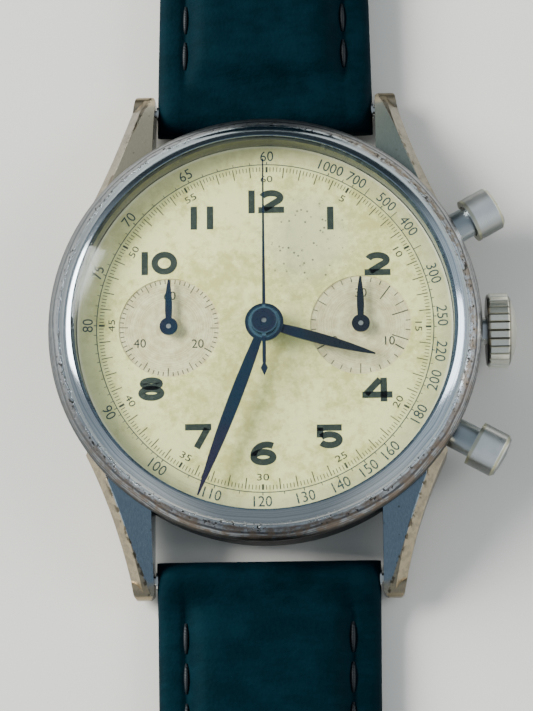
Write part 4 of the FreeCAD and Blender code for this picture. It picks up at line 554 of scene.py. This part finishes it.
def dial_recipe(wire):
    spot = place(wire)
    away = span(spot)
    broad, fine = cloud(spot, 0.16, 4), cloud(spot, 1.1, 5, 0.7)
    aged = mix((0.66, 0.62, 0.22), (0.98, 0.94, 0.43), ease(broad * 0.5 + fine * 0.5, 0.38, 0.58))
    greyed = mix(aged, (0.66, 0.66, 0.42), ease(span(spot, (3.5, 7.5)) + fine * 3, 6.5, 3.0) * 0.6)
    rim = ease(away + fine * 1.2, 13.4, 16.0)
    paint = mix(greyed, (0.58, 0.54, 0.36), rim * 0.55)
    stained = ease(span(spot, (3.8, 7.0)) + fine * 2, 6.2, 3.4)
    specks = spots(spot, 2.1, 0.25) * stained * ease(cloud(spot, 0.9, 2), 0.40, 0.50)
    dust = spots(spot + (0.37, 0.11, 0), 1.05, 0.07) * 0.8
    # The pale outer line is real paint, made brighter in the colour as painted light against the bezel's
    # shadow.
    paint = mix(paint, (0.98, 0.92, 0.80), ease(away, 15.3, 15.7) * 0.85)
    paint = mix(paint, (0.10, 0.10, 0.06), specks * 0.9 + dust * 0.5)
    left, right = register_mask(spot, left_register), register_mask(spot, right_register)
    left_rings = span(spot, (left_register.x / MM, 0)) * left * 9
    right_rings = span(spot, (right_register.x / MM, 0)) * right * 9
    rings = cloud(spot * (0, 0, 1) + left_rings + right_rings, 1.3, 2)
    silver = mix((0.60, 0.51, 0.27), (0.95, 0.88, 0.54), ease(rings * 0.45 + fine * 0.55, 0.34, 0.66))
    small = left + right
    colour = mix(paint, silver, small)
    relief = bump(fine, 0.12, after=bump(rings * small, 0.25))
    return {"Base Color": colour, "Roughness": 0.62 - small * 0.2, "Normal": relief, "Metallic": small * 0.12}


dial_paint = surface("dial_paint", {"Specular IOR Level": 0.35}, dial_recipe)
dress(dial_paint, "dial")
print(dial_paint.name)

# %% [markdown]
# The crystal is a clear acrylic dome. Cut glass would need light to bend twice, which a small
# scene doesn't pay for. Instead the dome lets light straight through, and adds only its gloss,
# which grows towards the edge by the Fresnel rule. A faint haze of fine scratches roughens it.
# %% Crystal
def crystal_material():
    made = bpy.data.materials.new("clear_acrylic")
    made.use_nodes = True
    tree = made.node_tree
    for node in list(tree.nodes):
        if node.type != "OUTPUT_MATERIAL":
            tree.nodes.remove(node)
    wire = Wire(tree)
    spot = place(wire)
    haze = cloud(spot, 1.2, 4)
    gloss = wire.node("BsdfGlossy", None, {"Color": (0.9, 0.97, 0.95, 1), "Roughness": 0.04 + haze * 0.05})
    clear = wire.node("BsdfTransparent", None, {"Color": (0.985, 0.995, 0.985, 1)})
    share = wire.node("Fresnel", None, {"IOR": 1.49}) * 0.4
    both = wire.node("MixShader", None, {0: share, 1: clear, 2: gloss})
    tree.links.new(both.socket, tree.nodes["Material Output"].inputs["Surface"])
    return made


clear_acrylic = crystal_material()
dress(clear_acrylic, "crystal")
print(clear_acrylic.name)

# %% [markdown]
# Printing on a dial is a layer of ink some hundredths of a millimetre thick. Each printed mark
# is a thin plate, so it keeps a crisp edge at any distance, casts the faint shadow that ink has,
# and needs no picture. One function turns flat outlines into such plates, at the level of the
# paint under them, which it finds by looking down on the dial.
# %% Ink
from mathutils.bvhtree import BVHTree

dial_mesh = nodes["dial"].data
dial_corners = [v.co for v in dial_mesh.vertices]
dial_tree = BVHTree.FromPolygons(dial_corners, [list(p.vertices) for p in dial_mesh.polygons])
INK = 0.012 * MM


def paint_level(x, y):
    """The height of the dial's surface at a point, or of its top where the dial has a hole."""
    hit = dial_tree.ray_cast(Vector((x, y, 1.0)), Vector((0, 0, -1)))[0]
    return hit.z if hit and hit.z > dial_top - 0.3 * MM else dial_top


class Print:
    """Flat ink marks that are collected one by one and then made into one piece."""

    def __init__(self):
        self.vertices, self.faces = [], []

    def ribbon(self, points, width, level, closed=False):
        """A stroke of even width along a line of points, as one plate or ring of plates."""
        left, right = [], []
        count = len(points)
        for index, point in enumerate(points):
            before = points[index - 1] if closed or index else None
            after = points[(index + 1) % count] if closed or index < count - 1 else None
            pairs = [pair for pair in ((before, point), (point, after)) if None not in pair]
            runs = [(b - a).normalized() for a, b in pairs]
            along = sum(runs, Vector((0, 0))).normalized()
            side = Vector((-along.y, along.x))
            lean = max(0.35, abs(side.dot(Vector((-runs[0].y, runs[0].x)))))
            left.append(point + side * (width / 2 / lean))
            right.append(point - side * (width / 2 / lean))
        start = len(self.vertices)
        for height in (level - INK * 0.3, level + INK):
            self.vertices += [(p.x, p.y, height) for p in right] + [(p.x, p.y, height) for p in left]
        top = start + 2 * count
        for index in range(count if closed else count - 1):
            after = (index + 1) % count
            r0, r1, l0, l1 = index, after, count + index, count + after
            self.faces += [
                [top + r0, top + r1, top + l1, top + l0],
                [start + l0, start + l1, start + r1, start + r0],
                [start + r0, start + r1, top + r1, top + r0],
                [start + l1, start + l0, top + l0, top + l1],
            ]
        if not closed:
            last = count - 1
            self.faces.append([start, top, top + count, start + count])
            self.faces.append([start + last, start + count + last, top + count + last, top + last])

    def make(self, name, material, body="case"):
        made = mesh_object(name, self.vertices, self.faces, material)
        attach(made, body)
        return made


DIAL_TURN = 1.1  # the dial has been refitted this many degrees clockwise of its place


def clock(angle, radius, centre=Vector((0, 0, 0))):
    """A point at a clock angle in degrees, clockwise from twelve."""
    turn = math.radians(angle + DIAL_TURN)
    return Vector((centre.x + radius * math.sin(turn), centre.y + radius * math.cos(turn)))


def tick(ink, angle, near, far, width, centre=Vector((0, 0, 0))):
    """One radial mark."""
    start, end = clock(angle, near * MM, centre), clock(angle, far * MM, centre)
    ink.ribbon([start, end], width * MM, paint_level(*((start + end) / 2)))


def ink_recipe(dark, light):
    def recipe(wire):
        worn = cloud(place(wire), 2.5, 4)
        return {"Base Color": mix(dark, light, ease(worn, 0.45, 0.8)), "Roughness": 0.4 + worn * 0.2}
    return recipe


black_ink = surface("green_black_ink", {"Specular IOR Level": 0.4},
                    ink_recipe((0.018, 0.030, 0.024), (0.05, 0.065, 0.05)))
fine_ink = surface("fine_olive_ink", {"Specular IOR Level": 0.3},
                   ink_recipe((0.035, 0.045, 0.03), (0.10, 0.11, 0.07)))
blue_ink = surface("slate_blue_ink", {"Specular IOR Level": 0.3},
                   ink_recipe((0.030, 0.055, 0.065), (0.085, 0.12, 0.12)))
print("dial paint lies at", round(paint_level(0.002, 0.01) / MM, 3),
      "and", round(paint_level(left_register.x, 0.002) / MM, 3))

# %% [markdown]
# The hour figures are broad, round and of one thick stroke, drawn before anyone set them in
# type. A font wouldn't match them, so each figure is a few strokes on a square one unit high:
# straight runs, and pieces of ellipses. Strokes are widened into ink by the ribbon above.
# %% Hour figures
STROKE = 0.27


def curve(cx, cy, rx, ry, start, end, steps=24):
    """Points on part of an ellipse, by angle in degrees, anticlockwise from the right."""
    turns = [math.radians(start + (end - start) * step / steps) for step in range(steps + 1)]
    return [Vector((cx + rx * math.cos(turn), cy + ry * math.sin(turn))) for turn in turns]


def line(*points):
    return [Vector(point) for point in points]


FIGURES = {
    "0": (1.08, [(curve(0, 0.5, 0.405, 0.365, 0, 345, 23), True)]),
    "1": (0.26, [(line((0, 0), (0, 1)), False)]),
    "2": (1.08, [(curve(0.0, 0.66, 0.385, 0.205, 165, -35) + line((-0.30, 0.17)), False),
                 (line((-0.54, 0.13), (0.54, 0.13)), False)]),
    "4": (1.24, [(line((0.12, 0.93), (-0.47, 0.32)), False), (line((-0.62, 0.29), (0.62, 0.29)), False),
                 (line((0.27, 0), (0.27, 1)), False)]),
    "5": (1.10, [(line((-0.50, 0.87), (0.52, 0.87)), False), (line((-0.37, 0.87), (-0.37, 0.46)), False),
                 (curve(0.02, 0.36, 0.40, 0.225, 150, -150), False)]),
    "6": (1.08, [(curve(0, 0.345, 0.40, 0.21, 0, 345, 23), True),
                 (curve(0.14, 0.40, 0.54, 0.465, 180, 62), False)]),
    "7": (1.08, [(line((-0.54, 0.87), (0.54, 0.87)), False), (line((0.38, 0.80), (-0.06, 0)), False)]),
    "8": (1.08, [(curve(0, 0.32, 0.405, 0.185, 0, 345, 23), True),
                 (curve(0, 0.725, 0.345, 0.14, 0, 345, 23), True)]),
}
FIGURE_HEIGHT, FIGURE_CIRCLE, TEN_SHIFT = 2.0 * MM, 10.75 * MM, 0.45 * MM
GAP, ELEVEN_GAP = 0.15, 0.42
hours = Print()
for hour in (1, 2, 4, 5, 6, 7, 8, 10, 11, 12):
    figures = str(hour)
    gap = ELEVEN_GAP if figures == "11" else GAP
    total = sum(FIGURES[figure][0] for figure in figures) + gap * (len(figures) - 1)
    centre = clock(hour * 30, FIGURE_CIRCLE) + Vector((TEN_SHIFT if hour == 10 else 0, 0))
    pen = -total / 2
    for figure in figures:
        width, strokes = FIGURES[figure]
        for points, closed in strokes:
            moved = [Vector((pen + width / 2 + p.x, p.y - 0.5)) for p in points]
            path = [centre + point * FIGURE_HEIGHT for point in moved]
            hours.ribbon(path, STROKE * FIGURE_HEIGHT, dial_top, closed)
        pen += width + gap
hours.make("hour_figures", black_ink)
print("hour figures", len(hours.faces), "faces")

# %% [markdown]
# Small figures come from Blender's own font, which has the thin even stroke of a printed
# scale. A word is turned into flat triangles once, set to the wanted height, and then placed
# round a circle with its foot or its head towards the centre.
# %% Small figures
words = {}


def word_outline(text):
    """The corners and faces of a word, one unit high and centred."""
    if text not in words:
        data = bpy.data.curves.new("word", "FONT")
        data.body = text
        data.resolution_u = 3
        made = bpy.data.objects.new("word", data)
        bpy.context.scene.collection.objects.link(made)
        shown = made.evaluated_get(bpy.context.evaluated_depsgraph_get())
        mesh = bpy.data.meshes.new_from_object(shown)
        corners = [v.co.copy() for v in mesh.vertices]
        faces = [list(p.vertices) for p in mesh.polygons]
        bpy.data.objects.remove(made)
        bpy.data.meshes.remove(mesh)
        low = Vector((min(c.x for c in corners), min(c.y for c in corners)))
        high = Vector((max(c.x for c in corners), max(c.y for c in corners)))
        height = high.y - low.y
        flat = [(c.to_2d() - (low + high) / 2) / height for c in corners]
        words[text] = (flat, faces, (high.x - low.x) / height)
    return words[text]


def word(ink, text, spot, height, turn=0.0, wide=1.0):
    """A small printed word, turned anticlockwise by an angle in degrees."""
    corners, faces, _ = word_outline(text)
    level = paint_level(*spot) + INK
    start = len(ink.vertices)
    spin = Matrix.Rotation(math.radians(turn), 2)
    for corner in corners:
        place_on_dial = spot + spin @ Vector((corner.x * wide, corner.y)) * height * MM
        ink.vertices.append((place_on_dial.x, place_on_dial.y, level))
    ink.faces += [[start + i for i in face] for face in faces]


def thicken(piece):
    """Gives flat words the thickness of ink."""
    solid = piece.modifiers.new("ink", "SOLIDIFY")
    solid.thickness = INK * 1.3
    solid.offset = -1


print("a word is", len(word_outline("60")[0]), "corners")

# %% [markdown]
# The seconds track has five marks to a second, a longer one at each second, and a bold one at
# every fifth, which is shorter to leave room for its number. The numbers stand upright at the top
# of the dial and are turned round at the bottom, so that none is read upside down.
# %% Seconds track
FIVE_SECONDS, ONE_SECOND, FIFTH = (13.3, 13.78, 0.17), (12.86, 13.78, 0.075), (13.38, 13.76, 0.055)
SECOND_NUMBERS, SECOND_NUMBER_HEIGHT = 12.72 * MM, 0.56
track, track_words = Print(), Print()
for step in range(300):
    mark = FIVE_SECONDS if step % 25 == 0 else ONE_SECOND if step % 5 == 0 else FIFTH
    tick(track, step * 1.2, *mark)
for second in range(5, 61, 5):
    angle = second * 6
    turn = -angle + (180 if 90 < angle < 270 else 0)
    word(track_words, str(second), clock(angle, SECOND_NUMBERS), SECOND_NUMBER_HEIGHT, turn, 1.35)
track.make("seconds_track", fine_ink)
thicken(track_words.make("seconds_numbers", black_ink))
print("seconds track", len(track.faces), "faces")

# %% [markdown]
# Outside it runs a speed scale. A car that needs so many seconds for a kilometre has a speed of
# 3600 over those seconds, so each mark's angle follows from its own number.
# Each number stands outside its own mark.
# %% Speed scale
SCALE_CIRCLE, SHORT_END, LONG_END, SPEED_NUMBERS = 13.98, 14.22, 14.7, 14.72
SPEED_NUMBER_HEIGHT = 0.88
scale, scale_words = Print(), Print()
circle = [clock(-step * 3, SCALE_CIRCLE * MM) for step in range(120)]
scale.ribbon(circle, 0.07 * MM, dial_top, True)
numbered = (60, 65, 70, 75, 80, 90, 100, 110, 120, 130, 140, 150, 160, 180, 200, 220, 250,
            300, 400, 500, 700, 1000)
marks = [*range(60, 100, 1), *range(100, 200, 5), *range(200, 320, 10), *range(350, 550, 50),
         600, 700, 800, 1000]
for speed in marks:
    end = LONG_END if speed in (350, 450, 600) else SHORT_END
    tick(scale, 360 * 60 / speed, SCALE_CIRCLE, end, 0.07 if speed in numbered else 0.05)
for speed in numbered:
    angle = 360 * 60 / speed
    turn = -angle + (180 if 100 < angle < 262 else 0)
    word(scale_words, str(speed), clock(angle, SPEED_NUMBERS * MM), SPEED_NUMBER_HEIGHT, turn, 0.95)
scale.make("speed_scale", blue_ink)
thicken(scale_words.make("speed_numbers", blue_ink))
print("speed scale", len(marks), "marks")

# %% [markdown]
# The left register counts seconds: sixty marks, every fifth longer. The right one counts thirty
# minutes, and has long lines at three, six and nine, once used to time a telephone call. Their
# numbers stand upright.
# %% Register printing
MARK_END, THIN, BOLD, BOLDEST = 4.12, 0.065, 0.09, 0.11
CALL_MINUTES = (3, 6, 9)
registers, register_words = Print(), Print()
for second in range(60):
    near = 3.42 if second % 5 == 0 else 3.78
    tick(registers, second * 6, near, MARK_END, BOLD if second % 20 == 0 else THIN, left_register)
for minute in range(30):
    near = 2.7 if minute in CALL_MINUTES else 3.3 if minute % 5 == 0 else 3.72
    width = BOLDEST if minute % 10 == 0 else BOLD if minute in CALL_MINUTES else THIN
    tick(registers, minute * 12, near, MARK_END, width, right_register)
for text, angle, centre in (
    ("60", 0, left_register), ("20", 119, left_register), ("40", 241, left_register),
    ("30", 0, right_register), ("10", 119, right_register), ("20", 241, right_register),
):
    word(register_words, text, clock(angle, 2.75 * MM, centre), 0.74)
registers.make("register_marks", fine_ink)
thicken(register_words.make("register_numbers", black_ink))
print("registers", len(registers.faces), "faces")

# %% [markdown]
# The strap is matt calf leather, nearly black with a cold green-blue cast. Its grain is a net of
# tiny cells, and handling has left broad soft creases and slightly paler high spots.
# %% Leather and thread
def leather_recipe(wire):
    spot = place(wire)
    wear = cloud(spot, 0.35, 4)
    cells = spot.node("TexVoronoi", None, {"Vector": spot, "Scale": 3.2}, "Distance")
    creases = cloud(spot * (1, 3.5, 1), 0.5, 5)
    handled = ease(wear * 0.7 + creases * 0.3, 0.35, 0.7)
    colour = mix((0.0003, 0.0036, 0.0064), (0.0014, 0.0083, 0.0135), handled)
    relief = bump(cells, 0.35, 0.05 * MM, bump(creases, 0.3, 0.12 * MM))
    return {"Base Color": colour, "Roughness": 0.62 + wear * 0.2, "Normal": relief}


def thread_recipe(wire):
    spot = place(wire)
    sockets = {"Vector": spot, "Scale": 3.0, "Distortion": 0.5}
    twist = spot.node("TexWave", {"bands_direction": "DIAGONAL"}, sockets)
    colour = mix((0.002, 0.004, 0.006), (0.010, 0.014, 0.017), twist)
    return {"Base Color": colour, "Roughness": 0.45 + twist * 0.2, "Normal": bump(twist, 0.4)}


matt = {"Specular IOR Level": 0.07, "Specular Tint": (0.2, 0.85, 1.0, 1)}
calf_leather = surface("calf_leather", matt, leather_recipe)
black_thread = surface("black_thread", {"Specular IOR Level": 0.2}, thread_recipe)
print(calf_leather.name, black_thread.name)

# %% [markdown]
# Each half of the strap is a band folded round its bar, filled along the middle and stitched
# near the edges. Cloth simulation would round the edges off, so the band is lofted instead:
# one closed outline, changed a little at each step along the length, from the fold's round
# nose to the tip. The fill is a soft plateau inside the stitch lines, which start past the fold.
# %% Strap halves
ACROSS = [-1, -0.992, -0.97, -0.93, -0.885, -0.845, -0.81, -0.785, -0.76, -0.735, -0.70, -0.64,
          -0.55, -0.4, -0.2]
ACROSS += [0] + [-share for share in reversed(ACROSS)]
STITCH_INSET = 2.45
HALF_WIDTH, END_HALF = 9.3, 8.0
THICK, END_THICK, FOLD_THICK, SWELL = 2.1, 1.8, 3.6, 1.25
BAR_ALONG, BAR_LEVEL = 20.35, 2.0


def blend_between(value, low, high):
    """A smooth step in plain numbers."""
    share = min(1, max(0, (value - low) / (high - low)))
    return share * share * (3 - 2 * share)


def half_width(share):
    """Half the strap's width at a share of its length. It narrows sooner where a keeper slides."""
    return HALF_WIDTH + (END_HALF - HALF_WIDTH) * min(1, share + 0.2 * blend_between(share, 0.15, 0.4))


def section(along, half, middle_level, thick, fill):
    """The strap's outline across, at one distance along it, in millimetres."""
    top, bottom = [], []
    for share in ACROSS:
        edge = math.sqrt(max(0, 1 - abs(share) ** 18))
        inset = half - abs(share) * half
        swell = blend_between(inset, STITCH_INSET - 0.15, STITCH_INSET + 1.5)
        groove = math.exp(-(((inset - STITCH_INSET + 0.1) / 0.3) ** 2)) * min(1, fill + 0.15) * 0.2
        top.append((share * half, along, middle_level + thick / 2 * edge + (swell * fill - groove) * edge))
        bottom.append((share * half, along, middle_level - thick / 2 * edge))
    return top + bottom[-2:0:-1]


def face_outward(piece):
    """Turns every face of a closed skin to look outwards."""
    shape = bmesh.new()
    shape.from_mesh(piece.data)
    bmesh.ops.recalc_face_normals(shape, faces=shape.faces)
    shape.to_mesh(piece.data)
    shape.free()
    return piece


def loft(name, rings, material):
    """One closed skin over a row of rings of equal count, capped at both ends."""
    count = len(rings[0])
    corners = [Vector(point) * MM for ring in rings for point in ring]
    faces = []
    for row in range(len(rings) - 1):
        for index in range(count):
            after = (index + 1) % count
            low, high = row * count, (row + 1) * count
            faces.append((low + index, low + after, high + after, high + index))
    faces.append(tuple(reversed(range(count))))
    faces.append(tuple(range(count * (len(rings) - 1), count * len(rings))))
    return face_outward(mesh_object(name, corners, faces, material, smooth=True))


def strap_rings(side, level, far, fold, nose_radius=None, tip_run=0):
    """The rings of one half, from the nose round its bar to the far end."""
    rows = []
    for step in range(1, 9):
        turn = math.radians(11.25 * step)
        rows.append((BAR_ALONG - fold * math.cos(turn), BAR_LEVEL, FOLD_THICK * math.sin(turn), 0.0))
    last = far - (nose_radius or 0)
    steps = 110
    for step in range(1, steps + 1):
        along = BAR_ALONG + (last - BAR_ALONG) * step / steps
        share = (along - BAR_ALONG) / (last - BAR_ALONG)
        body = THICK + (END_THICK - THICK) * share
        settle = blend_between(along, BAR_ALONG, BAR_ALONG + 3.4)
        fold_thick = FOLD_THICK + (body - FOLD_THICK) * settle
        fold_middle = BAR_LEVEL + (level + body / 2 - BAR_LEVEL) * settle
        fill = SWELL * blend_between(along, BAR_ALONG + 1.4, BAR_ALONG + 4.2)
        fill *= 1 - blend_between(share, 0.12, 0.42)
        rows.append((along, fold_middle, fold_thick, fill))
    if nose_radius:
        for step in range(1, 8):
            turn = math.radians(90 - 11.25 * step)
            along = last + nose_radius * math.cos(turn)
            rows.append((along, level + END_THICK / 2, END_THICK * math.sin(turn), 0.0))
    rings = []
    for along, middle_level, thickness, fill in rows:
        share = max(0, (along - BAR_ALONG) / (last - BAR_ALONG))
        half = half_width(share)
        if tip_run and along > last - tip_run:
            half *= max(0.02, 1 - ((along - last + tip_run) / tip_run) ** 2.1) ** 0.6
        rings.append([(x, y * side, z) for x, y, z in section(along, half, middle_level, thickness, fill)])
    return rings


def cut(piece, cutters):
    """Takes cutters out of a piece, and leaves no modifier or cutter behind."""
    for cutter in cutters:
        taken = piece.modifiers.new("cut", "BOOLEAN")
        taken.object = cutter
        taken.solver = "EXACT"
    shown = piece.evaluated_get(bpy.context.evaluated_depsgraph_get())
    mesh = bpy.data.meshes.new_from_object(shown)
    piece.modifiers.clear()
    piece.data = mesh
    for cutter in cutters:
        bpy.data.objects.remove(cutter)


def peg(along, radius, low=-3 * MM, high=9 * MM):
    """A round cutter that stands on the strap's middle line."""
    corners = [(radius * math.cos(turn), along + radius * math.sin(turn), level)
               for level in (low, high) for turn in (math.radians(15 * step) for step in range(24))]
    sides = [(i, (i + 1) % 24, 24 + (i + 1) % 24, 24 + i) for i in range(24)]
    return mesh_object("peg", corners, sides + [tuple(reversed(range(24))), tuple(range(24, 48))])


buckle_end = reach("strap_buckle_side", 1) / MM
tail_end = -reach("strap_tail_side", 1, top=False) / MM
TIP_RUN = 9
SLOT_START, SLOT_RADIUS = 4.75, 1.2 * MM
HOLES_START, HOLE_PITCH, HOLE_RADIUS = 25, 6.5, 1.0 * MM
buckle_rings = strap_rings(1, 1.2, buckle_end, 2.2, nose_radius=1.2)
buckle_half = loft("strap_buckle_half", buckle_rings, calf_leather)
tail_half = loft("strap_tail_half", strap_rings(-1, 0.3, tail_end, 1.45, tip_run=TIP_RUN), calf_leather)
slot_at = [buckle_end - SLOT_START + step for step in range(0, 5)]
cut(buckle_half, [peg(along * MM, SLOT_RADIUS) for along in slot_at])
holes_at = [-(tail_end - HOLES_START - HOLE_PITCH * step) for step in range(7)]
cut(tail_half, [peg(along * MM, HOLE_RADIUS) for along in holes_at])
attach(buckle_half, "strap_buckle_side")
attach(tail_half, "strap_tail_side")
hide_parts("strap_buckle_side")
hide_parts("strap_tail_side")
for half in (buckle_half, tail_half):
    half.data.shade_smooth()
print("strap halves", len(buckle_half.data.polygons), len(tail_half.data.polygons), "faces")

# %% [markdown]
# Stitches lie in the groove, a little longer than their gaps, and each dives into the leather at
# both ends. One stitch is a bent sausage of thread. They are laid along both edges by a loop.
# %% Stitches
STITCH, PITCH, FIRST_STITCH, BUCKLE_LAST_STITCH = 2.5, 3.3, 24, 82
ROWS, SIDES = 7, 6


def stitch(corners, faces, start, end, radius=0.21):
    """Adds one stitch between two points, bowed up in the middle."""
    run = end - start
    along = run.normalized()
    side = along.cross(Vector((0, 0, 1))).normalized()
    first = len(corners)
    for row in range(ROWS):
        share = row / (ROWS - 1)
        thin = math.sin(math.pi * (0.08 + 0.84 * share)) ** 0.5
        centre = start + run * share + Vector((0, 0, 0.16 * math.sin(math.pi * share) - 0.08))
        for step in range(SIDES):
            turn = math.radians(60 * step)
            corners.append(centre + (side * math.cos(turn) + Vector((0, 0, math.sin(turn)))) * radius * thin)
    for row in range(ROWS - 1):
        for step in range(SIDES):
            a, b = first + row * SIDES + step, first + row * SIDES + (step + 1) % SIDES
            faces.append((a, b, b + SIDES, a + SIDES))
    faces.append(tuple(first + step for step in reversed(range(SIDES))))
    faces.append(tuple(first + (ROWS - 1) * SIDES + step for step in range(SIDES)))


def stitched(name, half_piece, side, last, far, body):
    """Two rows of stitches on one half, laid on its own surface."""
    tree = BVHTree.FromObject(half_piece, bpy.context.evaluated_depsgraph_get())
    corners, faces = [], []
    count = int((last - FIRST_STITCH) / PITCH)
    for hand in (-1, 1):
        for index in range(count):
            ends = []
            begin = FIRST_STITCH + index * PITCH
            for along in (begin, begin + STITCH):
                share = (along - BAR_ALONG) / (far - BAR_ALONG)
                half = half_width(share)
                x, y = hand * (half - STITCH_INSET + 0.1), along * side
                hit = tree.ray_cast(Vector((x, y, 20)) * MM, Vector((0, 0, -1)))[0]
                ends.append(Vector((x, y, hit.z / MM + 0.1)))
            stitch(corners, faces, *ends)
    made = mesh_object(name, [c * MM for c in corners], faces, black_thread, smooth=True)
    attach(made, body)
    return made


buckle_stitches = stitched("buckle_half_stitches", buckle_half, 1, BUCKLE_LAST_STITCH, buckle_end,
                           "strap_buckle_side")
tail_stitches = stitched("tail_half_stitches", tail_half, -1, tail_end - TIP_RUN, tail_end, "strap_tail_side")
stitch_faces = (ROWS - 1) * SIDES + 2
stitch_count = sum(len(piece.data.polygons) // stitch_faces for piece in (buckle_stitches, tail_stitches))
print("stitches", stitch_count)

# %% [markdown]
# The keepers are narrow closed loops of the same leather. A loop is a rounded rectangle swept
# with a small flat oval. Its size and place come from the frame, so it still slides on the strap.
# %% Keepers
def keeper(name, node, body):
    """A leather loop that fills the space of a CAD keeper."""
    low, high = (Vector(corner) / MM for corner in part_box(node))
    wall, radius = 0.8, 1.1
    half_x, half_z = (high.x - low.x) / 2 - wall / 2, (high.z - low.z) / 2 - wall / 2
    centre = (low + high) / 2
    rings, count = [], 16
    for quarter, (sx, sz) in enumerate(((1, 1), (-1, 1), (-1, -1), (1, -1))):
        for step in range(5):
            turn = math.radians(90 * quarter + 22.5 * step)
            out = Vector((math.cos(turn), 0, math.sin(turn)))
            corner = Vector((sx * (half_x - radius), 0, sz * (half_z - radius)))
            path = centre + corner + out * radius
            ring = []
            for index in range(count):
                spin = 2 * math.pi * index / count
                wide = math.copysign(abs(math.cos(spin)) ** 0.45, math.cos(spin)) * (high.y - low.y) / 2
                deep = math.copysign(abs(math.sin(spin)) ** 0.7, math.sin(spin)) * wall / 2
                ring.append(path + Vector((0, wide, 0)) + out * deep)
            rings.append(ring)
    corners = [point * MM for ring in rings for point in ring]
    faces = []
    for row in range(len(rings)):
        for index in range(count):
            a, b = row * count, ((row + 1) % len(rings)) * count
            after = (index + 1) % count
            faces.append((a + index, b + index, b + after, a + after))
    made = face_outward(mesh_object(name, corners, faces, calf_leather, smooth=True))
    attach(made, body)
    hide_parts(node)
    return made


fixed_loop = keeper("fixed_loop", "fixed_keeper", "strap_buckle_side")
free_loop = keeper("free_loop", "sliding_keeper", "sliding_keeper")
print("keepers", len(fixed_loop.data.polygons) + len(free_loop.data.polygons), "faces")
